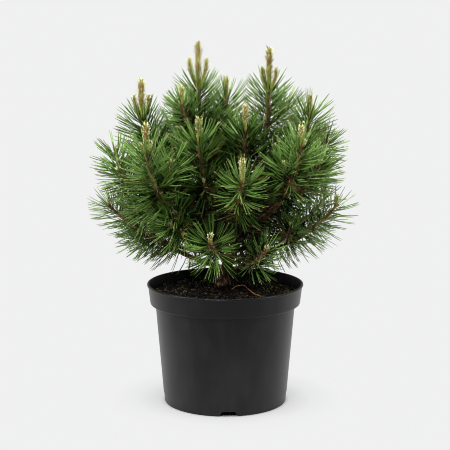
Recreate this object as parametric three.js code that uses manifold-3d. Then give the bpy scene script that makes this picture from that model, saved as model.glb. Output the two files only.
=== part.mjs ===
// A young mugo pine in its round nursery pot, a little over half a metre tall.
// The pot is a thin moulded tub with a wide collar, filled with potting soil.
// A short leaning trunk stands on the soil and forks into upturned boughs, and
// each bough ends in a mass of needles with its spring candles standing on it.
// Units are millimetres, +Z is up, and the origin is the centre of the pot's
// flat underside. Bearings are degrees from +X towards +Y, so -90 is the front.

import * as THREE from "three";
import { mergeVertices } from "three/addons/utils/BufferGeometryUtils.js";
import Module from "manifold-3d";

const wasm = await Module();
wasm.setup();

// ------------------------------------------------------------ driving sizes

const GAP = 0.3; // left between two pieces that touch

// pot
const POT_HEIGHT = 173;
const RIM_RADIUS = 112.5;
const FOOT_RADIUS = 87.3;
const WALL = 1.6;
const SHOULDER_HEIGHT = 144; // underside of the collar
const SHOULDER_RADIUS = 99.8; // wall just under the collar
const COLLAR_RADIUS = 107.6; // at the collar's lower edge
const COLLAR_TOP_RADIUS = 110; // just under the rim bead
const BEAD_HEIGHT = 4.5;
const EDGE = 1.6; // rounding of the pot's edges
const POT_SIDES = 30;
const PAD_RADIUS = 58; // flat middle of the underside
const CHANNEL_HEIGHT = 9; // drain channel round the pad
const CHANNEL_EDGE = 3;
const FOOT_RING = 3;
const NOTCH = { count: 3, bearing: -87, low: 27, high: 18.5, height: 7, depth: 12 };
const DRAIN = { count: 6, length: 9, width: 16, radius: 72 };

// soil
const SOIL_EDGE_HEIGHT = 156.5;
const SOIL_TOP_HEIGHT = 162; // where the trunk stands
const SOIL_LUMP = { height: 1.2, length: 15 };
const SOIL_RISE = [[0.7, 0.35], [0.4, 0.8]]; // shares of the edge radius and of the rise

// trunk
const TRUNK_FOOT = new THREE.Vector3(-4, 27, SOIL_TOP_HEIGHT);
const TRUNK_BEND = new THREE.Vector3(1, 27, 188);
const TRUNK_FORK = new THREE.Vector3(21, 27, 238);
const TRUNK_RADIUS = 8.4;
const FORK_RADIUS = 7.2;
const FLARE = { radius: 4.5, height: 9, roots: 5, depth: 0.35 };
const TRUNK_SIDES = 10;
const TRUNK_STEPS = 8;
const TRUNK_STUMP = 12; // length of path below the flat cut

// boughs
const BOUGH_SIDES = 6;
const BOUGH_STEPS = 4;
const BOUGH_RADIUS = 5.4;
const BRANCH_RADIUS = 4;
const SHOOT_RADIUS = 2.6;
const BOUGH_SINK = 8; // how far a bough's end reaches into its mass
const LEAVE_SHARE = 0.35; // how long a bough keeps its first heading
const ARRIVE_SHARE = 0.4;
const LEAVE_RISE = 0.55; // boughs leave flatter than they end

// masses of needles
const NEEDLE_REACH = 39; // from the stem out to the needle tips
const FORWARD_REACH = 24; // beyond the end of the stem
const MASS_SIDES = 8;
const MASS_ROWS = 5;
const CLOTHED = 82; // usual length of stem that carries needles
const CANDLE_RADIUS = 4.4;
const CANDLE_TIP_RADIUS = 3.2;
const CANDLE_SIDES = 4;
const CANDLE_SPREAD = 13; // degrees that a side candle leans
const SIDE_CANDLE_SHARE = 0.62;
const SIDE_CANDLE_BEARINGS = [0, 180, -90];
const DENTS = { pairs: 0.08, threes: 0.06, swell: 0.16 }; // of the needles' reach
const TURN = 2.4; // radians from one mass's dents to the next

// The shoots that are laid out one by one, the foremost first. Each has the
// stem it leaves and how far up (0 to 1), the bearing, reach and height of its
// end, how far it leans out there (0 upright, 1 at 45 degrees), and the length
// of its candle. Only a bare shoot has no bough of its own: it sits straight on
// the stem that carries it. Main boughs are stouter, and a shoot may carry side
// candles or a length of needles that differs from the usual one.
const SHOOTS = {
  front_star: { from: "trunk", at: 0.97, bearing: -80, reach: 132, height: 337, lean: 1.1, candle: 33 },
  front_low: { from: "trunk", at: 0.6, bearing: -98, reach: 141, height: 256, lean: 1.7, candle: 18 },
  front_left: {
    from: "trunk", at: 0.72, bearing: 220, reach: 139, height: 370, lean: 0.15, candle: 42,
    sides: 2, clothed: 105, main: true,
  },
  front_right: {
    from: "trunk", at: 1, bearing: -38, reach: 130, height: 379, lean: 0.12, candle: 30,
    sides: 1, clothed: 95, main: true,
  },
  low_right_front: {
    from: "trunk", at: 0.42, bearing: -58, reach: 107, height: 235, lean: 1.1, candle: 0,
    clothed: 60,
  },
  top_left: {
    from: "back_top", at: 0.3, bearing: 134, reach: 56, height: 450, lean: 0.03, candle: 67,
    sides: 3, clothed: 95,
  },
  top_right: {
    from: "trunk", at: 1, bearing: 26, reach: 69, height: 447, lean: 0.05, candle: 63,
    sides: 2, clothed: 95, main: true,
  },
  upper_left: {
    from: "trunk", at: 0.85, bearing: 170, reach: 120, height: 407, lean: 0.2, candle: 59,
    sides: 2, clothed: 95, main: true,
  },
  upper_right: {
    from: "trunk", at: 0.93, bearing: 9, reach: 122, height: 414, lean: 0.15, candle: 30,
    clothed: 95, main: true,
  },
  front_top: { from: "trunk", at: 0.95, bearing: 234, reach: 62, height: 382, lean: 0.1, candle: 36 },
  centre_top: {
    from: "top_right", at: 0.3, bearing: -10, reach: 29, height: 393, lean: 0.02, candle: 38,
    bare: true,
  },
  far_left: { from: "front_left", at: 0.6, bearing: 191, reach: 157, height: 368, lean: 0.25, candle: 14 },
  low_right: {
    from: "trunk", at: 0.5, bearing: -4, reach: 157, height: 292, lean: 0.8, candle: 18,
    clothed: 100,
  },
  low_left: {
    from: "trunk", at: 0.6, bearing: 183, reach: 166, height: 290, lean: 0.9, candle: 0,
    clothed: 95,
  },
  far_right: {
    from: "front_right", at: 0.62, bearing: -16, reach: 140, height: 343, lean: 0.7, candle: 0,
    clothed: 50, bare: true,
  },
  right_back: {
    from: "upper_right", at: 0.5, bearing: 16, reach: 150, height: 371, lean: 0.4, candle: 20,
    clothed: 60, bare: true,
  },
  bottom_left: { from: "trunk", at: 0.42, bearing: 167, reach: 133, height: 238, lean: 1.9, candle: 0 },
  back_top: {
    from: "trunk", at: 1, bearing: 90, reach: 80, height: 433, lean: 0.1, candle: 32,
    clothed: 90, main: true,
  },
  left_back_top: {
    from: "upper_left", at: 0.35, bearing: 123, reach: 113, height: 424, lean: 0.12, candle: 30,
  },
  bottom_front: {
    from: "low_right_front", at: 0.5, bearing: -26, reach: 66, height: 202, lean: 2.6, candle: 0,
    clothed: 40, bare: true,
  },
  mid_left_front: {
    from: "front_left", at: 0.4, bearing: 226, reach: 108, height: 262, lean: 1.6, candle: 0,
    clothed: 55, bare: true,
  },
};

// Round the back the shoots stand in tiers, an even fan in each, and every
// second one a little taller. The lowest tier sits on the boughs above it.
const BACK_TIERS = [
  { tier: "back_upper", bearings: [50, 92, 135], from: "trunk", at: 0.93, reach: 148, height: 362,
    lean: 0.36, candle: 34 },
  { tier: "back_low", bearings: [28, 69, 113, 153], from: "trunk", at: 0.7, reach: 168, height: 285,
    lean: 0.85, candle: 18 },
  { tier: "back_bottom", bearings: [46, 91, 136], from: "back_low", at: 0.45, reach: 139, height: 222,
    lean: 1.5, candle: 0, clothed: 66, bare: true },
];
const TIER_STEP = 9; // extra height of every second shoot

BACK_TIERS.forEach(({ tier, bearings, from, height, ...rest }) => {
  bearings.forEach((bearing, index) => {
    const carrier = from === "trunk" ? from : `${from}_${index + 1}`;
    const raised = height + (index % 2) * TIER_STEP;
    SHOOTS[`${tier}_${index + 1}`] = { ...rest, from: carrier, bearing, height: raised };
  });
});

// ---------------------------------------------------------------- materials

const paint = (color, roughness) => new THREE.MeshStandardMaterial({ color, roughness, metalness: 0 });
const POT_PLASTIC = paint(0x2b2b2c, 0.55);
const PEAT = paint(0x2a211a, 0.95);
const BARK = paint(0x59402d, 0.9);
const NEEDLES = paint(0x46702f, 0.6);

// ------------------------------------------------------------------ helpers

const UP = new THREE.Vector3(0, 0, 1);

function solidOf(geometry) {
  const bare = geometry.clone();
  bare.deleteAttribute("normal");
  bare.deleteAttribute("uv");
  const merged = mergeVertices(bare, 1e-4);
  const vertProperties = new Float32Array(merged.attributes.position.array);
  const triVerts = new Uint32Array(merged.index.array);
  return new wasm.Manifold(new wasm.Mesh({ numProp: 3, vertProperties, triVerts }));
}

function meshOf(name, solid, material) {
  const made = solid.getMesh();
  const geometry = new THREE.BufferGeometry();
  geometry.setAttribute("position", new THREE.BufferAttribute(made.vertProperties, 3));
  geometry.setIndex(new THREE.BufferAttribute(made.triVerts, 1));
  const mesh = new THREE.Mesh(geometry, material);
  mesh.name = name;
  return mesh;
}

// A cut can leave crumbs beside the piece: the piece is the largest body.
function largestBody(solid) {
  const bodies = solid.decompose();
  bodies.sort((one, other) => other.volume() - one.volume());
  return bodies[0];
}

function outward(bearing) {
  const angle = THREE.MathUtils.degToRad(bearing);
  return new THREE.Vector3(Math.cos(angle), Math.sin(angle), 0);
}

// The place and the cross directions at a distance along a path. Past either
// end the path goes on straight.
function stationAlong(path, distance) {
  const length = path.getLength();
  const share = THREE.MathUtils.clamp(distance / length, 0, 1);
  const point = path.getPointAt(share);
  const tangent = path.getTangentAt(share);
  point.addScaledVector(tangent, distance - share * length);
  const chord = path.getPoint(1).sub(path.getPoint(0));
  const side = new THREE.Vector3(chord.y, -chord.x, 0).normalize();
  const across = new THREE.Vector3().crossVectors(side, tangent).normalize();
  side.crossVectors(tangent, across);
  return { point, side, across };
}

// Bends a shape that stands on Y from 0 to 1 along a stretch of a path.
function bendAlong(geometry, path, start, length) {
  const position = geometry.attributes.position;
  for (let index = 0; index < position.count; index += 1) {
    const along = start + position.getY(index) * length;
    const { point, side, across } = stationAlong(path, along);
    point.addScaledVector(side, position.getX(index));
    point.addScaledVector(across, position.getZ(index));
    position.setXYZ(index, point.x, point.y, point.z);
  }
  return geometry;
}

// ---------------------------------------------------------------------- pot

const wallRadiusAt = (height) =>
  THREE.MathUtils.lerp(FOOT_RADIUS, SHOULDER_RADIUS, height / SHOULDER_HEIGHT);
const floorRadius = wallRadiusAt(CHANNEL_HEIGHT + WALL) - WALL;
const insideShoulder = SHOULDER_RADIUS - WALL;
const insideCollar = COLLAR_RADIUS - WALL;
const insideRim = COLLAR_TOP_RADIUS - WALL;

function lathe(profile) {
  const points = profile.map(([radius, height]) => new THREE.Vector2(radius, height));
  const geometry = new THREE.LatheGeometry(points, POT_SIDES);
  geometry.rotateX(Math.PI / 2);
  return solidOf(geometry);
}

function potShell() {
  const channelOuter = FOOT_RADIUS - FOOT_RING;
  const beadFoot = POT_HEIGHT - BEAD_HEIGHT;
  return lathe([
    [0, 0],
    [PAD_RADIUS, 0],
    [PAD_RADIUS + CHANNEL_EDGE, CHANNEL_HEIGHT],
    [channelOuter - CHANNEL_EDGE / 2, CHANNEL_HEIGHT],
    [channelOuter, 0],
    [FOOT_RADIUS, 0],
    [SHOULDER_RADIUS, SHOULDER_HEIGHT],
    [COLLAR_RADIUS - EDGE, SHOULDER_HEIGHT],
    [COLLAR_RADIUS, SHOULDER_HEIGHT + EDGE],
    [COLLAR_TOP_RADIUS, beadFoot],
    [RIM_RADIUS, beadFoot + EDGE / 2],
    [RIM_RADIUS, POT_HEIGHT - EDGE / 2],
    [RIM_RADIUS - EDGE / 2, POT_HEIGHT],
    [insideRim, POT_HEIGHT],
    [insideCollar, SHOULDER_HEIGHT + WALL],
    [insideShoulder, SHOULDER_HEIGHT + WALL],
    [floorRadius, CHANNEL_HEIGHT + WALL],
    [PAD_RADIUS + CHANNEL_EDGE - WALL, CHANNEL_HEIGHT + WALL],
    [PAD_RADIUS - WALL, WALL],
    [0, WALL],
  ]);
}

// A notch in the foot lets water out of the channel under the floor.
function drainNotch(bearing) {
  const outline = new THREE.Shape();
  outline.moveTo(-NOTCH.low / 2, -GAP);
  outline.lineTo(NOTCH.low / 2, -GAP);
  outline.lineTo(NOTCH.high / 2, NOTCH.height);
  outline.lineTo(-NOTCH.high / 2, NOTCH.height);
  outline.closePath();
  const geometry = new THREE.ExtrudeGeometry(outline, { depth: NOTCH.depth, bevelEnabled: false });
  geometry.rotateX(Math.PI / 2);
  geometry.translate(0, -FOOT_RADIUS + NOTCH.depth - WALL, 0);
  geometry.rotateZ(THREE.MathUtils.degToRad(bearing + 90));
  return solidOf(geometry);
}

function drainSlot(bearing) {
  const geometry = new THREE.BoxGeometry(DRAIN.length, DRAIN.width, WALL * 4);
  geometry.translate(DRAIN.radius, 0, CHANNEL_HEIGHT + WALL / 2);
  geometry.rotateZ(THREE.MathUtils.degToRad(bearing));
  return solidOf(geometry);
}

function pot() {
  let shell = potShell();
  for (let index = 0; index < NOTCH.count; index += 1) {
    shell = shell.subtract(drainNotch(NOTCH.bearing + (index * 360) / NOTCH.count));
  }
  for (let index = 0; index < DRAIN.count; index += 1) {
    shell = shell.subtract(drainSlot(NOTCH.bearing + ((index + 0.5) * 360) / DRAIN.count));
  }
  return shell;
}

// --------------------------------------------------------------------- soil

// The surface rises gently to the trunk, and the trunk stands in a flat seat.
function soil() {
  const floor = CHANNEL_HEIGHT + WALL + GAP;
  const ledge = SHOULDER_HEIGHT + WALL + GAP;
  const edgeShare = (SOIL_EDGE_HEIGHT - ledge) / (POT_HEIGHT - ledge);
  const edgeRadius = THREE.MathUtils.lerp(insideCollar, insideRim, edgeShare) - GAP * 2;
  const rise = SOIL_TOP_HEIGHT - SOIL_EDGE_HEIGHT;
  const points = [
    [0, WALL + GAP],
    [PAD_RADIUS - WALL - GAP * 2, WALL + GAP],
    [PAD_RADIUS + CHANNEL_EDGE - WALL - GAP * 2, floor],
    [floorRadius - GAP * 2, floor],
    [insideShoulder - GAP * 2, ledge],
    [insideCollar - GAP * 2, ledge],
    [edgeRadius, SOIL_EDGE_HEIGHT],
    ...SOIL_RISE.map(([across, up]) => [edgeRadius * across, SOIL_EDGE_HEIGHT + rise * up]),
    [0, SOIL_TOP_HEIGHT],
  ];
  const profile = points.map(([radius, height]) => new THREE.Vector2(radius, height));
  const geometry = new THREE.LatheGeometry(profile, POT_SIDES);
  geometry.rotateX(Math.PI / 2);
  const position = geometry.attributes.position;
  for (let index = 0; index < position.count; index += 1) {
    const x = position.getX(index);
    const y = position.getY(index);
    const z = position.getZ(index);
    const swell = Math.sin(x / SOIL_LUMP.length) * Math.cos((y + x / 2) / SOIL_LUMP.length);
    const lump = SOIL_LUMP.height * swell;
    position.setZ(index, z > SOIL_EDGE_HEIGHT ? z + lump : z);
  }
  const seatRadius = TRUNK_RADIUS + FLARE.radius * (1 + FLARE.depth) + GAP * 3;
  const seat = new THREE.CylinderGeometry(seatRadius, seatRadius, TRUNK_STUMP, TRUNK_SIDES);
  seat.rotateX(Math.PI / 2);
  seat.translate(TRUNK_FOOT.x, TRUNK_FOOT.y, SOIL_TOP_HEIGHT - GAP + TRUNK_STUMP / 2);
  return solidOf(geometry).subtract(solidOf(seat));
}

// -------------------------------------------------------------------- trunk

const trunkPath = new THREE.CatmullRomCurve3([
  TRUNK_FOOT.clone().addScaledVector(UP, -TRUNK_STUMP),
  TRUNK_FOOT,
  TRUNK_BEND,
  TRUNK_FORK,
]);

// The trunk swells into a few roots at its foot, and is cut flat there.
function trunk(extra) {
  const length = trunkPath.getLength();
  const geometry = new THREE.CylinderGeometry(1, 1, 1, TRUNK_SIDES, TRUNK_STEPS);
  geometry.translate(0, 0.5, 0);
  const position = geometry.attributes.position;
  for (let index = 0; index < position.count; index += 1) {
    const share = position.getY(index);
    const above = Math.max(0, share * length - TRUNK_STUMP);
    const angle = Math.atan2(position.getZ(index), position.getX(index));
    const roots = 1 + FLARE.depth * Math.cos(angle * FLARE.roots);
    const flare = FLARE.radius * Math.exp(-above / FLARE.height) * roots;
    const radius = THREE.MathUtils.lerp(TRUNK_RADIUS, FORK_RADIUS, share) + flare + extra;
    position.setX(index, position.getX(index) * radius);
    position.setZ(index, position.getZ(index) * radius);
  }
  const below = TRUNK_STUMP * 2;
  const ground = new THREE.BoxGeometry(RIM_RADIUS, RIM_RADIUS, below);
  ground.translate(TRUNK_FOOT.x, TRUNK_FOOT.y, SOIL_TOP_HEIGHT - below / 2);
  return solidOf(bendAlong(geometry, trunkPath, 0, length)).subtract(solidOf(ground));
}

// ------------------------------------------------------------------- boughs

const stems = { trunk: trunkPath };

// A shoot's stem leaves its parent rather flat and turns up to its own lean.
function layStem(name) {
  const shoot = SHOOTS[name];
  const foot = stems[shoot.from].getPointAt(shoot.at);
  const tip = outward(shoot.bearing).multiplyScalar(shoot.reach);
  tip.z = shoot.height;
  const heading = outward(shoot.bearing).multiplyScalar(shoot.lean).add(UP).normalize();
  const leaving = tip.clone().sub(foot);
  leaving.z *= LEAVE_RISE;
  leaving.normalize();
  const span = foot.distanceTo(tip);
  stems[name] = new THREE.CubicBezierCurve3(
    foot,
    foot.clone().addScaledVector(leaving, span * LEAVE_SHARE),
    tip.clone().addScaledVector(heading, -span * ARRIVE_SHARE),
    tip,
  );
}

const clothedLength = (name) => SHOOTS[name].clothed ?? CLOTHED;

function bough(name, extra) {
  const path = stems[name];
  const length = path.getLength();
  const reach = length - clothedLength(name) + BOUGH_SINK;
  const footRadius = SHOOTS[name].main ? BOUGH_RADIUS : BRANCH_RADIUS;
  const endRadius = THREE.MathUtils.lerp(footRadius, SHOOT_RADIUS, reach / length);
  const geometry = new THREE.CylinderGeometry(
    endRadius + extra,
    footRadius + extra,
    1,
    BOUGH_SIDES,
    BOUGH_STEPS,
  );
  geometry.translate(0, 0.5, 0);
  return solidOf(bendAlong(geometry, path, 0, reach + extra));
}

// ------------------------------------------------------------------- masses

// An egg of needles round the end of the stem, dented differently each time.
function needleEgg(path, clothed, turn, extra) {
  const geometry = new THREE.SphereGeometry(1, MASS_SIDES, MASS_ROWS);
  const position = geometry.attributes.position;
  for (let index = 0; index < position.count; index += 1) {
    const y = position.getY(index);
    const angle = Math.atan2(position.getZ(index), position.getX(index));
    const pairs = DENTS.pairs * Math.sin(2 * angle + turn);
    const threes = DENTS.threes * Math.sin(3 * angle - 2 * turn + 2 * y);
    const radius = NEEDLE_REACH * (1 + pairs + threes) * (1 + DENTS.swell * y) + extra;
    position.setXYZ(index, position.getX(index) * radius, (y + 1) / 2, position.getZ(index) * radius);
  }
  const start = path.getLength() - clothed - extra;
  return solidOf(bendAlong(geometry, path, start, clothed + FORWARD_REACH + extra * 2));
}

function candle(foot, length, tilt, bearing, extra) {
  const geometry = new THREE.CylinderGeometry(
    CANDLE_TIP_RADIUS + extra,
    CANDLE_RADIUS + extra,
    length + extra,
    CANDLE_SIDES,
  );
  geometry.rotateX(Math.PI / 2);
  geometry.translate(0, 0, (length + extra) / 2);
  geometry.rotateY(THREE.MathUtils.degToRad(tilt));
  geometry.rotateZ(THREE.MathUtils.degToRad(bearing));
  geometry.translate(foot.x, foot.y, foot.z);
  return solidOf(geometry);
}

// A mass is its egg of needles with the candles standing on it.
function mass(name, turn, extra) {
  const shoot = SHOOTS[name];
  const path = stems[name];
  let solid = needleEgg(path, clothedLength(name), turn, extra);
  const tip = path.getPoint(1);
  if (shoot.candle > 0) {
    solid = solid.add(candle(tip, shoot.candle, 0, 0, extra));
  }
  for (const bearing of SIDE_CANDLE_BEARINGS.slice(0, shoot.sides ?? 0)) {
    const length = shoot.candle * SIDE_CANDLE_SHARE;
    solid = solid.add(candle(tip, length, CANDLE_SPREAD, bearing, extra));
  }
  return solid;
}

// ----------------------------------------------------------------- assembly

const plant = new THREE.Group();
plant.add(meshOf("pot", pot(), POT_PLASTIC));
plant.add(meshOf("soil", soil(), PEAT));
plant.add(meshOf("trunk", trunk(0), BARK));

// The main boughs are laid first, then the shoots whose carrier is in place.
const names = Object.keys(SHOOTS);
const laid = [];
while (laid.length < names.length) {
  const ready = names.filter((name) => !stems[name] && stems[SHOOTS[name].from]);
  const stout = ready.filter((name) => SHOOTS[name].main);
  const next = stout.length > 0 ? stout : ready;
  next.forEach(layStem);
  laid.push(...next);
}

// The masses stay above the rim of the pot.
function potRoom() {
  const height = POT_HEIGHT + GAP;
  const geometry = new THREE.CylinderGeometry(RIM_RADIUS + GAP, RIM_RADIUS + GAP, height, POT_SIDES);
  geometry.rotateX(Math.PI / 2);
  geometry.translate(0, 0, height / 2);
  return solidOf(geometry);
}

// Each piece is cut back from the ones before it, with the gap between them.
let taken = trunk(GAP);
for (const name of laid.filter((one) => !SHOOTS[one].bare)) {
  const solid = largestBody(bough(name, 0).subtract(taken));
  plant.add(meshOf(`bough_${name}`, solid, BARK));
  taken = taken.add(bough(name, GAP));
}
taken = taken.add(potRoom());
names.forEach((name, index) => {
  const turn = index * TURN;
  const solid = largestBody(mass(name, turn, 0).subtract(taken));
  plant.add(meshOf(`foliage_${name}`, solid, NEEDLES));
  taken = taken.add(mass(name, turn, GAP));
});

export default plant;
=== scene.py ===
import math

import bmesh
import bpy
import numpy as np
from mathutils import Matrix, Vector, noise


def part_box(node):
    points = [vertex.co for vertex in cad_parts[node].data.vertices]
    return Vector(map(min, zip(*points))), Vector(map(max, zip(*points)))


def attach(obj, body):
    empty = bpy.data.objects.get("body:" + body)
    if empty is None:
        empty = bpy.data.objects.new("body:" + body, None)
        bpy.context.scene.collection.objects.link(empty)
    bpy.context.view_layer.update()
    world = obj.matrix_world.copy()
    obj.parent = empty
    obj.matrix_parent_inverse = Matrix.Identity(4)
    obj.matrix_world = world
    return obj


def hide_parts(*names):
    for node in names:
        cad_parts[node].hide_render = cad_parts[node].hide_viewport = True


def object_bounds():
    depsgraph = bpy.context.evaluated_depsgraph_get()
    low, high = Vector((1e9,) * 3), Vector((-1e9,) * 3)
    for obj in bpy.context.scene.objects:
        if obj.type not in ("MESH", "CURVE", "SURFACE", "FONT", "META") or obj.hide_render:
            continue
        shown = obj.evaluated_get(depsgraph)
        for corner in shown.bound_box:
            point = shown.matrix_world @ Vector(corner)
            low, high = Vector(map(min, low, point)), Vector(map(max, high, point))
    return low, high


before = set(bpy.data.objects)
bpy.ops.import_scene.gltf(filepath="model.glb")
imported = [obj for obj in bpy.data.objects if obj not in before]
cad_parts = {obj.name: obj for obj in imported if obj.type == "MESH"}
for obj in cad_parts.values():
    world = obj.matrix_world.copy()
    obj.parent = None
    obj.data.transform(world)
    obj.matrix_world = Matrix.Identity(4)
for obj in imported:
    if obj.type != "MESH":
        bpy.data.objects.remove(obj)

cad_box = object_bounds()


# ------------------------------------------------------------------ the pot
# A five litre nursery pot, moulded in one piece from thin black polypropylene,
# with a wide collar to lift it by, a bead round the rim and drain notches in its
# foot ring. The wall is dusty outside, less so up towards the collar as a painted
# shade that darkens it there, and darker and duller inside as painted shade in the
# pot's mouth.

pot_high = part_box("pot")[1]
POT_HEIGHT = pot_high[2]
RIM_RADIUS = pot_high[0] + 0.0004
WALL = 0.0016
FOOT_RADIUS = 0.0878
SHOULDER_HEIGHT = 0.144
SHOULDER_RADIUS = 0.1004
COLLAR_RADIUS = 0.1076
COLLAR_TOP_RADIUS = 0.1108
BEAD_HEIGHT = 0.0030
STEP_HEIGHT = 0.0135
STEP_DEPTH = 0.0006
PAD_RADIUS = 0.058
CHANNEL_HEIGHT = 0.009
CHANNEL_SLOPE = 0.003
FOOT_RING_WIDTH = 0.003
POT_STEPS = 160
NOTCH_BEARINGS = (-87, 33, 153)
NOTCH_DEPTH = 0.012
NOTCH_HEIGHT = 0.007
NOTCH_WIDTHS = (0.027, 0.0185)
SLOT_RADIUS = 0.072
SLOT_TURNS = (30, 90)
SLOT_SIZE = (0.009, 0.016, 0.006)
BLACK = (0.0020, 0.0020, 0.0021)
DUSTY_BLACK = (0.0175, 0.0175, 0.0176)
# Painted shade: the inside of the wall is darker, for the shade in the pot's mouth.
SHADED_INNER_BLACK = (0.0009, 0.0009, 0.0008)
# Painted shade: from the first height to the second the wall grows less dusty, darkening it up to and over
# the collar.
COLLAR_SHADE_HEIGHTS = (0.060, 0.142)
COLLAR_SHADE_MOST = 0.20


def eased(corners, steps=4):
    """The points of a line whose corners (radius, height, rounding) are rounded off."""
    line = [Vector(corners[0][:2])]
    for before, here, after in zip(corners, corners[1:], corners[2:]):
        corner = Vector(here[:2])
        start = corner.lerp(Vector(before[:2]), min(0.5, here[2] / (corner - Vector(before[:2])).length))
        end = corner.lerp(Vector(after[:2]), min(0.5, here[2] / (corner - Vector(after[:2])).length))
        for share in np.linspace(0, 1, steps if here[2] else 1):
            line.append(start.lerp(corner, share).lerp(corner.lerp(end, share), share))
    line.append(Vector(corners[-1][:2]))
    return line


def turned(line, steps):
    """A closed round body, spun about Z from a line of (radius, height) points."""
    shape = bmesh.new()
    points = [shape.verts.new((radius, 0, height)) for radius, height in line]
    edges = [shape.edges.new(pair) for pair in zip(points, points[1:])]
    bmesh.ops.spin(shape, geom=points + edges, cent=(0, 0, 0), axis=(0, 0, 1), angle=2 * math.pi,
                   steps=steps, use_merge=True)
    bmesh.ops.remove_doubles(shape, verts=shape.verts, dist=1e-6)
    bmesh.ops.recalc_face_normals(shape, faces=shape.faces)
    return shape


def placed(name, data):
    """A new object in the scene."""
    thing = bpy.data.objects.new(name, data)
    bpy.context.scene.collection.objects.link(thing)
    return thing


def mesh_of(name, shape):
    """A mesh with a shape in it, which frees the shape."""
    mesh = bpy.data.meshes.new(name)
    shape.to_mesh(mesh)
    shape.free()
    return mesh


def added(name, mesh, materials):
    """Makes a piece of a mesh and lets it ride with the plant."""
    for material in materials:
        mesh.materials.append(material)
    piece = placed(name, mesh)
    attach(piece, "root")
    return piece


def finished(name, shape, materials, crease):
    """Makes a piece of a shape, smooth but for edges that are sharper than the crease angle."""
    mesh = mesh_of(name, shape)
    mesh.shade_smooth()
    mesh.set_sharp_from_angle(angle=math.radians(crease))
    return added(name, mesh, materials)


def surface(name, roughness, specular):
    """A new material, with its node tree and its shader."""
    material = bpy.data.materials.new(name)
    material.use_nodes = True
    shader = material.node_tree.nodes["Principled BSDF"]
    shader.inputs["Roughness"].default_value = roughness
    shader.inputs["Specular IOR Level"].default_value = specular
    return material, material.node_tree, shader


def node(tree, kind, output, inputs, operation=None):
    """One output of a new node, whose inputs are set to values or linked to other outputs."""
    made = tree.nodes.new(kind)
    if operation:
        made.operation = operation
    for name, value in inputs.items():
        if isinstance(value, bpy.types.NodeSocket):
            tree.links.new(value, made.inputs[name])
        else:
            made.inputs[name].default_value = value
    return made.outputs[output]


def own_place(tree):
    """The place of a point in the piece's own coordinates."""
    return node(tree, "ShaderNodeTexCoord", "Object", {})


def part_of(tree, vector, axis):
    """One axis of a place or a direction."""
    return node(tree, "ShaderNodeSeparateXYZ", axis, {"Vector": vector})


def grain(tree, scale, detail, stretch=(1, 1, 1)):
    """A cloudy pattern on the piece's own coordinates, scale is its cells per metre."""
    place = node(tree, "ShaderNodeMapping", "Vector", {"Vector": own_place(tree), "Scale": stretch})
    return node(tree, "ShaderNodeTexNoise", "Fac", {"Vector": place, "Scale": scale, "Detail": detail})


def toned(tree, factor, *stops):
    """A colour that follows a pattern through stops of (place, colour)."""
    tone = node(tree, "ShaderNodeValToRGB", "Color", {"Fac": factor})
    elements = tone.node.color_ramp.elements
    for element, (place, color) in zip(elements, (stops[0], stops[-1])):
        element.position, element.color = place, (*color, 1)
    for place, color in stops[1:-1]:
        elements.new(place).color = (*color, 1)
    return tone


def colored(tree, shader, factor, *stops):
    """Gives the surface a colour that follows a pattern."""
    tree.links.new(toned(tree, factor, *stops), shader.inputs["Base Color"])


def ranged(tree, value, low, high, start=0.0, end=1.0):
    """A number that runs from low to high while a value runs from start to end."""
    return node(tree, "ShaderNodeMapRange", "Result", {
        "Value": value, "From Min": start, "From Max": end, "To Min": low, "To Max": high})


def roughened(tree, shader, factor, low, high):
    """Gives the surface a roughness that follows a pattern."""
    tree.links.new(ranged(tree, factor, low, high), shader.inputs["Roughness"])


def raised(tree, shader, factor, depth, strength):
    """Gives the surface the relief of a pattern, depth in metres."""
    relief = node(tree, "ShaderNodeBump", "Normal", {
        "Height": factor, "Distance": depth, "Strength": strength})
    tree.links.new(relief, shader.inputs["Normal"])


black_plastic, tree, shader = surface("black_plastic", 0.38, 0.31)
smudges = grain(tree, 40, 7, (1, 1, 0.4))
# Painted shade: the dusty smudges thin out with height, so the wall darkens towards the collar.
collar_shade = ranged(tree, part_of(tree, own_place(tree), "Z"), 0.0, COLLAR_SHADE_MOST, *COLLAR_SHADE_HEIGHTS)
dust_and_collar_shade = node(tree, "ShaderNodeMath", "Value", {0: smudges, 1: collar_shade}, operation="SUBTRACT")
colored(tree, shader, dust_and_collar_shade, (0.26, BLACK), (0.80, DUSTY_BLACK))
roughened(tree, shader, smudges, 0.32, 0.42)
raised(tree, shader, grain(tree, 900, 3), 0.0001, 0.25)

# Painted shade: the inside of the wall is darker and duller than the outside.
shaded_inner_plastic, tree, shader = surface("shaded_inner_plastic", 0.5, 0.14)
colored(tree, shader, grain(tree, 90, 6, (1, 1, 0.5)), (0.45, SHADED_INNER_BLACK), (0.78, DUSTY_BLACK))

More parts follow.
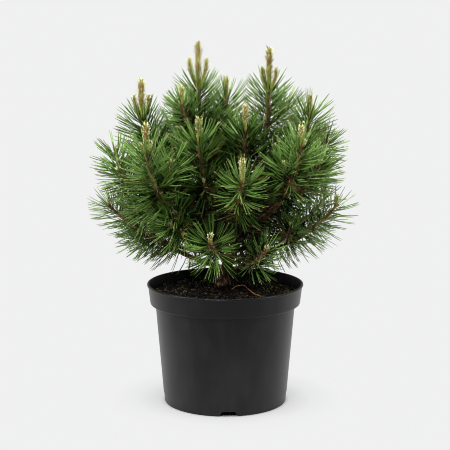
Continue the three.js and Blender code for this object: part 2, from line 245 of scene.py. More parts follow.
bead_foot = POT_HEIGHT - BEAD_HEIGHT
wall_slope = (SHOULDER_RADIUS - FOOT_RADIUS) / SHOULDER_HEIGHT
step_radius = FOOT_RADIUS + wall_slope * STEP_HEIGHT
floor_height = CHANNEL_HEIGHT + WALL
inside_foot = FOOT_RADIUS + wall_slope * floor_height - WALL
pot_line = eased([
    (0, 0, 0),
    (PAD_RADIUS, 0, 0.001),
    (PAD_RADIUS + CHANNEL_SLOPE, CHANNEL_HEIGHT, 0.001),
    (FOOT_RADIUS - FOOT_RING_WIDTH * 1.5, CHANNEL_HEIGHT, 0.001),
    (FOOT_RADIUS - FOOT_RING_WIDTH, 0, 0.0005),
    (FOOT_RADIUS, 0, 0.0012),
    (step_radius, STEP_HEIGHT, 0),
    (step_radius + STEP_DEPTH, STEP_HEIGHT + 0.001, 0),
    (SHOULDER_RADIUS, SHOULDER_HEIGHT, 0.0012),
    (COLLAR_RADIUS, SHOULDER_HEIGHT, 0.0018),
    (COLLAR_TOP_RADIUS, bead_foot, 0.001),
    (RIM_RADIUS, bead_foot, 0.0012),
    (RIM_RADIUS, POT_HEIGHT, 0.0016),
    (COLLAR_TOP_RADIUS - WALL, POT_HEIGHT, 0.0008),
    (COLLAR_RADIUS - WALL, SHOULDER_HEIGHT + WALL, 0.001),
    (SHOULDER_RADIUS - WALL, SHOULDER_HEIGHT + WALL, 0.001),
    (inside_foot, floor_height, 0.002),
    (PAD_RADIUS + CHANNEL_SLOPE - WALL, floor_height, 0.001),
    (PAD_RADIUS - WALL, WALL, 0.001),
    (0, WALL, 0),
])
pot_shape = turned(pot_line, POT_STEPS)
# Inward faces above the shoulder take the darker inner finish, a painted shade.
for face in pot_shape.faces:
    middle = face.calc_center_median()
    inward = face.normal.x * middle.x + face.normal.y * middle.y < 0
    face.material_index = int(inward and FOOT_RADIUS * 0.8 < middle.xy.length and middle.z > SHOULDER_HEIGHT)
pot = finished("pot_shell", pot_shape, [black_plastic, shaded_inner_plastic], crease=40)


def cut_out(piece, shape):
    """Cuts a shape out of a piece for good."""
    bmesh.ops.recalc_face_normals(shape, faces=shape.faces)
    cutter = placed("cutter", mesh_of("cutter", shape))
    opening = piece.modifiers.new("opening", "BOOLEAN")
    opening.operation = "DIFFERENCE"
    opening.object = cutter
    graph = bpy.context.evaluated_depsgraph_get()
    result = bpy.data.meshes.new_from_object(piece.evaluated_get(graph))
    piece.modifiers.remove(opening)
    piece.data = result
    bpy.data.objects.remove(cutter)


openings = bmesh.new()
for bearing in NOTCH_BEARINGS:
    for turn in (0, *SLOT_TURNS):
        made = bmesh.ops.create_cube(openings, size=1)["verts"]
        for vert in made:
            if turn:
                vert.co = Vector((SLOT_RADIUS, 0, CHANNEL_HEIGHT)) + vert.co * Vector(SLOT_SIZE)
            else:
                width, lift = (NOTCH_WIDTHS[0], -0.001) if vert.co.z < 0 else (NOTCH_WIDTHS[1], NOTCH_HEIGHT)
                vert.co = (FOOT_RADIUS + vert.co.x * NOTCH_DEPTH, vert.co.y * width, lift)
        bmesh.ops.rotate(openings, verts=made, cent=(0, 0, 0),
                         matrix=Matrix.Rotation(math.radians(bearing + turn), 3, "Z"))
cut_out(pot, openings)
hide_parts("pot")


# ----------------------------------------------------------------- the soil
# Moist dark peat with bark, firmed down in the pot to a finger's width below
# the rim and mounded a little round the trunk. Crumbs lie loose on top.

SOIL_EDGE_HEIGHT = 0.1565
SOIL_RISE = 0.0052
SOIL_RADIUS = 0.1065
SOIL_STEPS = 420
SOIL_RINGS = 110
SOIL_SWELLS = ((0.0030, 45), (0.0012, 900))
SOIL_CLODS = ((0.0052, 125), (0.0024, 300))
TRUNK_FOOT = Vector((-0.004, 0.027, 0.162))
TRUNK_MOUND = (0.0022, 0.02)
SOIL_GAP = 0.0006
SOIL_LIFT = 0.0004
PEAT_BLACK = (0.0009, 0.0007, 0.0005)
PEAT_BROWN = (0.0042, 0.0034, 0.0025)
PEAT_LIGHT = (0.034, 0.028, 0.021)


def soil_height(x, y):
    """The height of the soil's surface: a low mound of clods of several sizes."""
    share = min(1, math.hypot(x, y) / SOIL_RADIUS)
    mound = SOIL_RISE * (1 - share ** 1.6)
    from_trunk = (x - TRUNK_FOOT.x) ** 2 + (y - TRUNK_FOOT.y) ** 2
    at_trunk = TRUNK_MOUND[0] * math.exp(-from_trunk / TRUNK_MOUND[1] ** 2)
    lumps = sum(depth * noise.noise(Vector((x, y, 0.3)) * size) for depth, size in SOIL_SWELLS)
    lumps += sum(depth * (0.4 - noise.voronoi(Vector((x, y, 0.02)) * size)[0][0] ** 1.5)
                 for depth, size in SOIL_CLODS)
    return SOIL_EDGE_HEIGHT + mound + at_trunk + lumps * (1 if share < 0.99 else 0.4)


soil_floor = floor_height + SOIL_LIFT
soil_ledge = SHOULDER_HEIGHT + WALL + SOIL_LIFT
soil_line = [(radius, SOIL_EDGE_HEIGHT) for radius in np.linspace(0, SOIL_RADIUS, SOIL_RINGS)]
soil_line += [(COLLAR_RADIUS - WALL - SOIL_GAP, soil_ledge), (SHOULDER_RADIUS - WALL - SOIL_GAP, soil_ledge),
              (inside_foot - SOIL_GAP, soil_floor), (PAD_RADIUS - WALL + SOIL_GAP, soil_floor),
              (PAD_RADIUS - WALL - SOIL_GAP * 1.5, WALL + SOIL_LIFT), (0, WALL + SOIL_LIFT)]
peat_body = turned(soil_line, SOIL_STEPS)
for vert in peat_body.verts:
    if vert.co.z > soil_ledge:
        vert.co.z = soil_height(vert.co.x, vert.co.y)

peat, tree, shader = surface("peat", 0.92, 0.12)
colored(tree, shader, grain(tree, 420, 8), (0.42, PEAT_BLACK), (0.58, PEAT_BROWN), (0.76, PEAT_LIGHT))
roughened(tree, shader, grain(tree, 90, 4), 0.7, 1.0)
raised(tree, shader, grain(tree, 1300, 6), 0.0008, 0.8)
soil = finished("soil_body", peat_body, [peat], crease=80)
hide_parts("soil")


# ------------------------------------------------- crumbs, chips and fibres
# Loose bits on the peat: dark crumbs, flat chips of light pine bark and short
# tan fibres. Each kind is one small shape, copied many times in one mesh.

CRUMB_COUNT = 3600
CRUMB_MARGIN = 0.002
CRUMB_SIZE = 0.0011
CRUMB_SPREAD = 0.62
CRUMB_LIMITS = (0.0005, 0.0050)
CRUMB_TONES = ((0.0010, 0.0008, 0.0006), (0.0060, 0.0052, 0.0042), (0.030, 0.027, 0.022),
               (0.080, 0.042, 0.017))
CRUMB_SHARES = (0.56, 0.28, 0.14, 0.02)
CHIP_COUNT = 170
CHIP_MARGIN = 0.004
CHIP_LIFT = 0.0006
CHIP_SIZES = (0.0009, 0.0030)
CHIP_TONES = ((0.110, 0.055, 0.024), (0.050, 0.025, 0.012), (0.210, 0.125, 0.060), (0.018, 0.010, 0.006))
CHIP_SHARES = (0.3, 0.34, 0.12, 0.24)
FIBRE_COUNT = 260
FIBRE_MARGIN = 0.008
FIBRE_LIFT = 0.0008
FIBRE_LENGTHS = (0.002, 0.0075)
FIBRE_WIDTHS = (0.00018, 0.0004)
FIBRE_TONES = ((0.17, 0.080, 0.026), (0.095, 0.042, 0.014), (0.045, 0.021, 0.009))
FIBRE_SHARES = (0.3, 0.4, 0.3)
LITTER_SEED = 41
chance = np.random.default_rng(LITTER_SEED)


def cut_across(shape, height):
    """Gives a shape a ring of points at a height."""
    bmesh.ops.bisect_plane(shape, geom=shape.verts[:] + shape.edges[:] + shape.faces[:],
                           plane_co=(0, 0, height), plane_no=(0, 0, 1))


def pattern_of(shape):
    """A small shape as arrays that can be repeated: its points, triangles and slots."""
    bmesh.ops.triangulate(shape, faces=shape.faces)
    shape.verts.index_update()
    points = np.array([vert.co for vert in shape.verts])
    corners = np.array([[vert.index for vert in face.verts] for face in shape.faces])
    slots = np.array([face.material_index for face in shape.faces])
    shape.free()
    return points, corners, slots


def joined(name, pattern, points, tones, materials):
    """One piece of many copies, from every copy's points and the tone of it, or of each triangle."""
    corners = pattern[1]
    count, size = points.shape[:2]
    slots = pattern[2][None] + tones[:, None] if tones.ndim == 1 else tones
    faces = (corners[None] + size * np.arange(count)[:, None, None]).reshape(-1, 3)
    mesh = bpy.data.meshes.new(name)
    mesh.from_pydata(points.reshape(-1, 3), [], faces)
    mesh.polygons.foreach_set("material_index", slots.astype(np.int32).ravel())
    return added(name, mesh, materials)


def unit(vectors):
    """The same directions, each one metre long."""
    return vectors / np.maximum(np.linalg.norm(vectors, axis=-1, keepdims=True), 1e-9)


def frames_about(ups):
    """A turned set of axes about each given direction, as rows across, beside, up."""
    across = unit(np.cross(ups, unit(chance.normal(size=ups.shape))))
    return np.stack([across, np.cross(ups, across), ups], axis=1)


def plain(name, color, roughness, scale, specular=0.3):
    """A material of one base colour whose roughness follows a fine pattern."""
    material, tree, shader = surface(name, roughness, specular)
    shader.inputs["Base Color"].default_value = (*color, 1)
    roughened(tree, shader, grain(tree, scale, 3), roughness - 0.1, roughness + 0.1)
    return material


def plain_set(name, colors, *finish):
    """Numbered materials, each of one base colour, with the same finish."""
    return [plain(f"{name}_{index + 1}", color, *finish) for index, color in enumerate(colors)]


def strewn(count, margin, lift=0.0):
    """Places on the soil or a little over it, spread evenly inside the rim."""
    radius = (SOIL_RADIUS - margin) * np.sqrt(chance.uniform(0, 1, count))
    angle = chance.uniform(0, 2 * math.pi, count)
    places = np.stack([radius * np.cos(angle), radius * np.sin(angle), np.zeros(count)], axis=1)
    places[:, 2] = [soil_height(x, y) for x, y in places[:, :2]]
    places[:, 2] += lift
    return places


def carried(local, frames, places):
    """Every copy's points, turned by its set of axes and moved to its place."""
    return places[:, None] + np.einsum("npk,nkj->npj", local, frames)


def lying(pattern, places, sizes, tilt):
    """Every copy's points where it lies on the soil, turned and tilted by chance."""
    ups = unit(np.array([0, 0, 1]) + chance.normal(scale=tilt, size=places.shape))
    return carried(pattern[0][None] * sizes[:, None], frames_about(ups), places)


crumb = bmesh.new()
bmesh.ops.create_icosphere(crumb, subdivisions=1, radius=1)
crumb = pattern_of(crumb)
places = strewn(CRUMB_COUNT, CRUMB_MARGIN)
sizes = np.exp(chance.normal(math.log(CRUMB_SIZE), CRUMB_SPREAD, CRUMB_COUNT)).clip(*CRUMB_LIMITS)
lumpy = sizes[:, None] * chance.uniform(0.6, 1.25, (CRUMB_COUNT, 3))
points = lying(crumb, places, lumpy, tilt=0.6)
bumpy = chance.uniform(0.75, 1.25, points.shape[:2])[..., None]
points = places[:, None] + (points - places[:, None]) * bumpy
tones = chance.choice(4, CRUMB_COUNT, p=CRUMB_SHARES)
crumbs = joined("soil_crumbs", crumb, points, tones, plain_set("crumb", CRUMB_TONES, 0.85, 900, 0.15))

chip = bmesh.new()
bmesh.ops.create_cube(chip, size=2)
bmesh.ops.bevel(chip, geom=chip.edges[:], offset=0.35, offset_type="OFFSET", segments=1, profile=0.5,
                affect="EDGES", material=-1)
chip = pattern_of(chip)
places = strewn(CHIP_COUNT, CHIP_MARGIN, CHIP_LIFT)
length = chance.uniform(*CHIP_SIZES, CHIP_COUNT)
flat = np.stack([length, length * chance.uniform(0.35, 0.8, CHIP_COUNT),
                 length * chance.uniform(0.15, 0.3, CHIP_COUNT)], axis=1)
tones = chance.choice(4, CHIP_COUNT, p=CHIP_SHARES)
points = lying(chip, places, flat, tilt=0.35)
chips = joined("bark_chips", chip, points, tones, plain_set("chip", CHIP_TONES, 0.8, 1500))

fibre = bmesh.new()
bmesh.ops.create_cone(fibre, cap_ends=True, segments=3, radius1=1, radius2=0.4, depth=2)
for height in (-0.5, 0, 0.5):
    cut_across(fibre, height)
fibre = pattern_of(fibre)
fibre[0][:] = fibre[0][:, [2, 0, 1]]
places = strewn(FIBRE_COUNT, FIBRE_MARGIN, FIBRE_LIFT)
length = chance.uniform(*FIBRE_LENGTHS, FIBRE_COUNT)
width = chance.uniform(*FIBRE_WIDTHS, FIBRE_COUNT)
points = lying(fibre, places, np.stack([length, width, width], axis=1), tilt=0.22)
arch = (1 - fibre[0][:, 0] ** 2)[None] * (length * chance.uniform(-0.1, 0.5, FIBRE_COUNT))[:, None]
points[..., 2] += arch * 0.5
tones = chance.choice(3, FIBRE_COUNT, p=FIBRE_SHARES)
fibres = joined("soil_fibres", fibre, points, tones, plain_set("fibre", FIBRE_TONES, 0.75, 1500))


# --------------------------------------------- moss, surface root and grains
# Moss has begun in olive patches, most of them on the right of the pot. One old
# root arches out of the peat there, and a grain of fertiliser lies on the left.

MOSS_PATCHES = ((0.084, 0.042, 0.013), (0.071, 0.016, 0.013), (0.090, 0.002, 0.009), (0.056, 0.002, 0.009),
                (0.054, 0.044, 0.013), (0.097, 0.026, 0.006), (0.046, -0.020, 0.008), (-0.062, -0.018, 0.006),
                (-0.030, 0.074, 0.012), (0.050, -0.060, 0.014))
MOSS_BLADES = 360
MOSS_PATCH_RADIUS = 0.012
MOSS_SINK = 0.0002
MOSS_SIZES = (0.0008, 0.0020)
MOSS_TONES = ((0.16, 0.150, 0.025), (0.085, 0.090, 0.018), (0.24, 0.21, 0.05))
MOSS_SHARES = (0.45, 0.35, 0.2)
ROOT_ROUTE = ((0.0085, 0.0060, 0.1590), (0.0103, 0.0019, 0.1625), (0.0180, -0.0054, 0.1690),
              (0.0266, -0.0107, 0.1710), (0.0318, -0.0178, 0.1680), (0.0366, -0.0242, 0.1650),
              (0.0426, -0.0352, 0.1635), (0.0495, -0.0411, 0.1622), (0.0530, -0.0440, 0.1580))
ROOT_RADIUS = 0.00085
ROOT_STEPS = 60
ROOT_SIDES = 10
GRAIN_PLACE = (-0.0574, -0.0096)
GRAIN_RING = 0.0021
GRAIN_THICKNESS = 0.00062
GRAIN_RISE = 0.0006
GRAIN_BALL = 0.0010
GRAIN_LIFT = 0.0016
GRAIN_TILT = 0.5


def spike(sides, foot, rings=(), tip=0.0):
    """A small open cone on Z, one metre long, with a width of its own at each ring's height."""
    shape = bmesh.new()
    bmesh.ops.create_cone(shape, cap_ends=False, segments=sides, radius1=foot, radius2=tip, depth=1,
                          matrix=Matrix.Translation((0, 0, 0.5)))
    bmesh.ops.remove_doubles(shape, verts=shape.verts, dist=1e-5)
    for height, width in rings:
        cut_across(shape, height)
        for vert in shape.verts:
            if abs(vert.co.z - height) < 1e-4:
                vert.co.x, vert.co.y = vert.co.xy.normalized() * width
    return shape


blade = pattern_of(spike(3, 0.28))
patches = []
for x, y, radius in MOSS_PATCHES:
    blades = int(MOSS_BLADES * (radius / MOSS_PATCH_RADIUS) ** 2)
    spot = chance.normal(scale=radius * 0.45, size=(blades, 2)) * (1, 0.8)
    patches.append(spot + (x, y))
spots = np.concatenate(patches)
places = np.column_stack([spots, [soil_height(x, y) - MOSS_SINK for x, y in spots]])
sizes = chance.uniform(*MOSS_SIZES, len(places))[:, None] * np.ones(3)
tones = chance.choice(3, len(places), p=MOSS_SHARES)
points = lying(blade, places, sizes, tilt=0.45)
moss = joined("soil_moss", blade, points, tones, plain_set("moss", MOSS_TONES, 0.8, 900))


def swept(shape, points, radii, sides, slot=0):
    """Adds a limb to a mesh shape: a round section carried along points, with a radius at each."""
    line = bpy.data.curves.new("limb", "CURVE")
    line.dimensions = "3D"
    line.bevel_depth = 1.0
    line.bevel_resolution = sides // 2 - 2
    line.use_fill_caps = True
    spline = line.splines.new("POLY")
    spline.points.add(len(points) - 1)
    spline.points.foreach_set("co", np.column_stack([points, np.ones(len(points))]).ravel())
    spline.points.foreach_set("radius", np.asarray(radii, dtype=float))
    holder = bpy.data.objects.new("limb", line)
    mesh = bpy.data.meshes.new_from_object(holder)
    mesh.polygons.foreach_set("material_index", np.full(len(mesh.polygons), slot, dtype=np.int32))
    shape.from_mesh(mesh)
    bpy.data.objects.remove(holder)
    bpy.data.meshes.remove(mesh)
    bpy.data.curves.remove(line)


def smoothed(points, count):
    """A smooth line of evenly spread points through a few chosen ones."""
    points = np.asarray(points, dtype=float)
    shares = np.linspace(0, len(points) - 1, count)
    first = np.clip(shares.astype(int), 0, len(points) - 2)
    rest = (shares - first)[:, None]
    before, after = points[np.maximum(first - 1, 0)], points[np.minimum(first + 2, len(points) - 1)]
    here, there = points[first], points[first + 1]
    leaving, arriving = (there - before) / 2, (after - here) / 2
    return (here * (1 + 2 * rest) * (1 - rest) ** 2 + leaving * rest * (1 - rest) ** 2
            + there * rest ** 2 * (3 - 2 * rest) - arriving * rest ** 2 * (1 - rest))


root_bark, tree, shader = surface("root_bark", 0.7, 0.35)
colored(tree, shader, grain(tree, 260, 4), (0.35, (0.16, 0.062, 0.022)), (0.6, (0.42, 0.22, 0.07)))
raised(tree, shader, grain(tree, 1500, 4), 0.0004, 0.6)
route = smoothed(ROOT_ROUTE, ROOT_STEPS)
swells = 1 + 0.2 * np.sin(np.linspace(0, 11, ROOT_STEPS))
root_shape = bmesh.new()
swept(root_shape, route, ROOT_RADIUS * swells * np.linspace(1.15, 0.7, ROOT_STEPS), ROOT_SIDES)
root = finished("surface_root", root_shape, [root_bark], crease=60)

grain_shell, tree, shader = surface("grain_shell", 0.5, 0.4)
colored(tree, shader, grain(tree, 700, 3), (0.4, (0.05, 0.032, 0.02)), (0.65, (0.15, 0.11, 0.08)))
ring = [(GRAIN_RING + GRAIN_THICKNESS * math.cos(angle), GRAIN_RISE + GRAIN_THICKNESS * math.sin(angle))
        for angle in np.linspace(0, 2 * math.pi, 13)]
grain_shape = turned(ring, 24)
bmesh.ops.create_icosphere(grain_shape, subdivisions=2, radius=GRAIN_BALL)
bmesh.ops.rotate(grain_shape, verts=grain_shape.verts, matrix=Matrix.Rotation(GRAIN_TILT, 3, "X"))
bmesh.ops.translate(grain_shape, verts=grain_shape.verts,
                    vec=(*GRAIN_PLACE, soil_height(*GRAIN_PLACE) + GRAIN_LIFT))
grain_piece = finished("ring_grain", grain_shape, [grain_shell], crease=60)


# ------------------------------------------------------ trunk, boughs, shoots
# The living wood. The trunk leans and forks, each bough leaves it rather flat
# and turns up to the light, and ends in a shoot. Old wood has scaly brown bark,
# darkened inside the crown by painted shade.

TRUNK_ROUTE = ((-0.004, 0.027, 0.150), (-0.004, 0.027, 0.162), (0.001, 0.027, 0.188), (0.021, 0.027, 0.238))
TRUNK_RADIUS = 0.0084
FORK_RADIUS = 0.0072
TRUNK_BURIED = 0.012
TRUNK_STEPS = 120
TRUNK_SIDES = 40
FLARE_RADIUS = 0.0045
FLARE_HEIGHT = 0.009
FLARE_RIBS = 5
RIB_DEPTH = 0.16
RIB_HEIGHT = 0.012
STOUT_RADIUS = 0.0054
BRANCH_RADIUS = 0.0040
TIP_RADIUS = 0.0023
LIMB_STEP = 0.0022
LIMB_SIDES = 14
STEM_STEPS = 80
WHORL_SWELL = 0.55
WHORL_SHARPNESS = 26
YOUNG_SHARE = 0.62
PLATE_CELLS = (260, 260, 130)
PLATE_DEPTH = 0.00045
FLAKE_CELLS = 700
FLAKE_DEPTH = 0.0003
# Painted shade on bark: near the crown's heart the bark colour is mixed towards a dark one.
CROWN_HEART = (0.0, 0.03, 0.29)
CROWN_SHADE_REACH = (0.060, 0.125)
CROWN_SHADE_MOST = 0.85
BARK_IN_CROWN_SHADE = (0.0035, 0.0028, 0.0018, 1)

# What a shoot has if it says nothing else: metres of stem clothed in needles, side candles and their
# size next to its own, a stem that is stout or bare of dead twigs, its needles' shade from 0 for pale,
# partly the spray's own colour and partly painted light set shoot by shoot, side twigs, then shares of
# the usual number, length and width of needles, how much they darken with age, partly as painted
# shade, their droop, and the share of a usual stem's girth.
USUAL = dict(clothed=0.082, sides=0, side=0.62, stout=False, bare=False, tone=1, twigs=3, full=1.0,
             long=1.0, broad=1.0, age=0.9, droop=0.14, girth=1.0)
shoots = {}


def shoot(name, on, at, bearing, reach, height, lean, candle, **own):
    """Notes a shoot: the stem it leaves and how far up, where its end is, its lean and its candle."""
    shoots[name] = dict(on=on, at=at, bearing=bearing, reach=reach, height=height, lean=lean, candle=candle)
    shoots[name].update({**USUAL, **own})


# Each shoot's tone is partly painted light: shoots that the crown shades were given paler tones, so they read
# as lit.
shoot("front_star", "trunk", 0.97, -80, 0.132, 0.337, 1.1, 0.033, tone=0.7, twigs=0, full=1.05,
      broad=0.80, age=2.0, droop=0.18)
shoot("front_low", "trunk", 0.6, -98, 0.141, 0.256, 1.7, 0.016, tone=1.7, clothed=0.070, twigs=0, full=1.3,
      broad=0.72, age=1.7, droop=0.25)
shoot("front_left", "trunk", 0.72, 220, 0.139, 0.370, 0.15, 0.042, clothed=0.105, sides=2, stout=True,
      side=0.40, tone=0.7, age=0.15)
shoot("front_right", "trunk", 1, -38, 0.130, 0.379, 0.12, 0.030, clothed=0.085, sides=1, stout=True,
      twigs=2, side=0.42, age=0.6)
shoot("low_right_front", "trunk", 0.42, -58, 0.107, 0.237, 1.1, 0, clothed=0.048, tone=0, twigs=0, long=0.84,
      full=0.78, broad=0.80, age=1.6, girth=0.8)
shoot("top_left", "back_top", 0.3, 134, 0.056, 0.450, 0.03, 0.067, clothed=0.095, sides=3, side=0.70)
shoot("top_right", "trunk", 1, 25.8, 0.0697, 0.447, 0.05, 0.063, clothed=0.095, sides=2, stout=True,
      side=0.59, tone=1.2)
shoot("upper_left", "trunk", 0.85, 170, 0.121, 0.407, 0.2, 0.059, clothed=0.095, sides=2, stout=True,
      tone=2, full=1.15, side=0.66)
shoot("upper_right", "trunk", 0.93, 9, 0.122, 0.414, 0.15, 0.030, clothed=0.095, stout=True, sides=2,
      side=0.5)
shoot("front_top", "trunk", 0.95, 234, 0.062, 0.382, 0.1, 0.036, twigs=2, tone=0.7)
shoot("centre_top", "top_right", 0.3, -10, 0.029, 0.393, 0.02, 0.038, bare=True, twigs=2)
shoot("far_left", "front_left", 0.6, 191, 0.156, 0.362, 0.25, 0.014, long=0.9)
shoot("low_right", "trunk", 0.5, -4, 0.158, 0.287, 0.8, 0.018, clothed=0.125, tone=0, long=0.86, full=0.60,
      twigs=2, broad=0.82, age=0.45, droop=0.45, girth=0.75)
shoot("low_left", "trunk", 0.6, 183, 0.166, 0.288, 0.9, 0, clothed=0.095, tone=0, long=0.81, full=0.85,
      twigs=2, broad=0.82, droop=0.2, girth=0.8)
shoot("far_right", "front_right", 0.62, -16, 0.140, 0.343, 0.7, 0, clothed=0.050, bare=True, twigs=1,
      long=0.9)
shoot("right_back", "upper_right", 0.5, 16, 0.145, 0.374, 0.4, 0.020, clothed=0.060, bare=True, twigs=2,
      long=0.9)
shoot("bottom_left", "trunk", 0.42, 167, 0.131, 0.246, 1.9, 0, tone=0, clothed=0.098, twigs=0, long=0.96,
      full=0.75, broad=0.82, age=0.3, droop=0.8)
shoot("back_top", "trunk", 1, 88.7, 0.080, 0.433, 0.1, 0.032, clothed=0.090, stout=True)
shoot("left_back_top", "upper_left", 0.35, 123, 0.113, 0.424, 0.12, 0.030, long=0.85)
shoot("bottom_front", "low_right_front", 0.5, -40, 0.050, 0.209, 2.2, 0, clothed=0.040, bare=True, tone=2,
      twigs=0, full=0.8, long=0.82, broad=0.66, droop=0.3)
shoot("mid_left_front", "front_left", 0.4, 226, 0.108, 0.270, 1.5, 0, clothed=0.060, bare=True, tone=0.3,
      twigs=0, full=0.9, broad=0.85, age=0.1, droop=0.3)
for number, (bearing, height) in enumerate(((50, 0.350), (92, 0.371), (135, 0.360))):
    shoot(f"back_upper_{number + 1}", "trunk", 0.93, bearing, 0.148, height, 0.36, 0.034, twigs=6, full=1.1)
for number, (bearing, count, full) in enumerate(((28, 2, 0.36), (69, 6, 1.3), (113, 6, 1.3), (153, 2, 0.36))):
    shoot(f"back_low_{number + 1}", "trunk", 0.7, bearing, 0.168, 0.285 + 0.009 * (number % 2), 0.85, 0.018,
          twigs=count, full=full, long=0.85)
for number, (bearing, height) in enumerate(((46, 0.222), (91, 0.231), (136, 0.234))):
    shoot(f"back_bottom_{number + 1}", f"back_low_{number + 1}", 0.45, bearing, 0.139, height, 1.5, 0,
          clothed=0.066, bare=True, tone=0, twigs=1, full=0.42 - 0.07 * number, long=0.75)
shoot("top_left_fork", "top_left", 0.55, 181, 0.0615, 0.431, 0.08, 0.027, clothed=0.050, bare=True, twigs=0,
      full=0.62, long=0.78, girth=0.6, tone=1.3)
shoot("foot_right", "trunk", 0.30, 12, 0.046, 0.218, 0.8, 0, clothed=0.040, bare=True, twigs=0, full=0.9,
      long=0.8, broad=0.8, droop=0.6, girth=0.6, tone=1.5, age=0.5)


def lengths_along(path):
    """How far along a path each of its points is."""
    return np.concatenate([[0], np.cumsum(np.linalg.norm(np.diff(path, axis=0), axis=1))])


def stations(path, distances):
    """The points at some distances along a path, and the directions it has there."""
    reach = lengths_along(path)
    directions = unit(np.gradient(path, reach, axis=0))
    points = [np.interp(distances, reach, path[:, axis]) for axis in range(3)]
    headings = [np.interp(distances, reach, directions[:, axis]) for axis in range(3)]
    return np.stack(points, axis=-1), unit(np.stack(headings, axis=-1))


def outward(bearing):
    """The level direction at a bearing in degrees."""
    angle = math.radians(bearing)
    return np.array([math.cos(angle), math.sin(angle), 0])


def grown(foot, tip, lean_direction, rise=0.55, leave=0.35, arrive=0.4):
    """A stem's path: it leaves its foot flatter than it goes, and comes to its tip with its own lean."""
    leaving = (tip - foot) * (1, 1, rise)
    span = np.linalg.norm(tip - foot)
    near = foot + unit(leaving) * span * leave
    far = tip - unit(lean_direction) * span * arrive
    share = np.linspace(0, 1, STEM_STEPS)[:, None]
    return (foot * (1 - share) ** 3 + 3 * near * share * (1 - share) ** 2
            + 3 * far * share ** 2 * (1 - share) + tip * share ** 3)


paths = {"trunk": smoothed(TRUNK_ROUTE, TRUNK_STEPS)}
while len(paths) <= len(shoots):
    for name, part in shoots.items():
        if name not in paths and part["on"] in paths:
            carrier = paths[part["on"]]
            foot = stations(carrier, lengths_along(carrier)[-1] * part["at"])[0]
            tip = outward(part["bearing"]) * part["reach"] + (0, 0, part["height"])
            paths[name] = grown(foot, tip, outward(part["bearing"]) * part["lean"] + (0, 0, 1))


def stem_radius(name, share):
    """A stem's radius at a share of its length, with a knot where last year's growth began."""
    part = shoots[name]
    foot_radius = STOUT_RADIUS if part["stout"] else BRANCH_RADIUS
    whorl = 1 - part["clothed"] * YOUNG_SHARE / lengths_along(paths[name])[-1]
    knot = WHORL_SWELL * np.exp(-((share - whorl) * WHORL_SHARPNESS) ** 2)
    return (foot_radius + (TIP_RADIUS - foot_radius) * share ** 0.9) * (1 + knot) * part["girth"]


def barked(shape, depth):
    """Raises the bark on a wooden shape: long plates broken by cracks, and fine flakes."""
    shape.normal_update()
    for vert in shape.verts:
        plates = noise.voronoi(vert.co * Vector(PLATE_CELLS))[0]
        crack = min(1, (plates[1] - plates[0]) * 2.5)
        relief = PLATE_DEPTH * (crack - 0.6) + FLAKE_DEPTH * noise.noise(vert.co * FLAKE_CELLS)
        vert.co += vert.normal * relief * depth


def painted_crown_shade(tree, color):
    """The colour of bark, darkened by painted shade inside the crown, most near its heart."""
    inside = node(tree, "ShaderNodeVectorMath", "Value", {0: own_place(tree), 1: CROWN_HEART},
                  operation="DISTANCE")
    blend = tree.nodes.new("ShaderNodeMix")
    blend.data_type = "RGBA"
    blend.inputs["B"].default_value = BARK_IN_CROWN_SHADE
    tree.links.new(ranged(tree, inside, CROWN_SHADE_MOST, 0.0, *CROWN_SHADE_REACH), blend.inputs["Factor"])
    tree.links.new(color, blend.inputs["A"])
    return blend.outputs["Result"]


bark, tree, shader = surface("bark", 0.85, 0.1)
tones = toned(tree, grain(tree, 95, 6), (0.34, (0.020, 0.012, 0.005)), (0.5, (0.085, 0.047, 0.018)),
              (0.62, (0.230, 0.130, 0.045)), (0.74, (0.42, 0.24, 0.085)))
tree.links.new(painted_crown_shade(tree, tones), shader.inputs["Base Color"])
roughened(tree, shader, grain(tree, 300, 3), 0.7, 0.95)
raised(tree, shader, grain(tree, 800, 6, (1, 1, 0.5)), 0.0008, 0.9)

foot_bark, tree, shader = surface("foot_bark", 0.85, 0.1)
colored(tree, shader, grain(tree, 170, 6, (1, 1, 0.5)), (0.36, (0.010, 0.006, 0.004)),
        (0.52, (0.052, 0.030, 0.017)), (0.67, (0.270, 0.160, 0.100)))
raised(tree, shader, grain(tree, 500, 6, (1, 1, 0.4)), 0.0012, 0.9)

young_bark, tree, shader = surface("young_bark", 0.75, 0.2)
tones = toned(tree, grain(tree, 150, 6, (1, 1, 0.6)), (0.36, (0.038, 0.024, 0.009)),
              (0.50, (0.120, 0.073, 0.024)), (0.62, (0.280, 0.165, 0.050)), (0.74, (0.50, 0.33, 0.12)))
tree.links.new(painted_crown_shade(tree, tones), shader.inputs["Base Color"])
raised(tree, shader, grain(tree, 1300, 5, (1, 1, 0.5)), 0.0005, 0.8)

wood = bmesh.new()
trunk_reach = lengths_along(paths["trunk"])
trunk_above = np.maximum(0, trunk_reach - TRUNK_BURIED)
trunk_radii = (np.interp(trunk_reach / trunk_reach[-1], (0, 1), (TRUNK_RADIUS, FORK_RADIUS))
               + FLARE_RADIUS * np.exp(-trunk_above / FLARE_HEIGHT))
swept(wood, paths["trunk"], trunk_radii, TRUNK_SIDES)
for vert in wood.verts:
    height = max(0, vert.co.z - TRUNK_FOOT.z)
    away = Vector((vert.co.x - TRUNK_FOOT.x, vert.co.y - TRUNK_FOOT.y, 0))
    rib = RIB_DEPTH * math.cos(FLARE_RIBS * math.atan2(away.y, away.x)) * math.exp(-height / RIB_HEIGHT)
    vert.co += away * rib
barked(wood, 1.6)
trunk_piece = finished("trunk_bark", wood, [foot_bark], crease=70)
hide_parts("trunk")

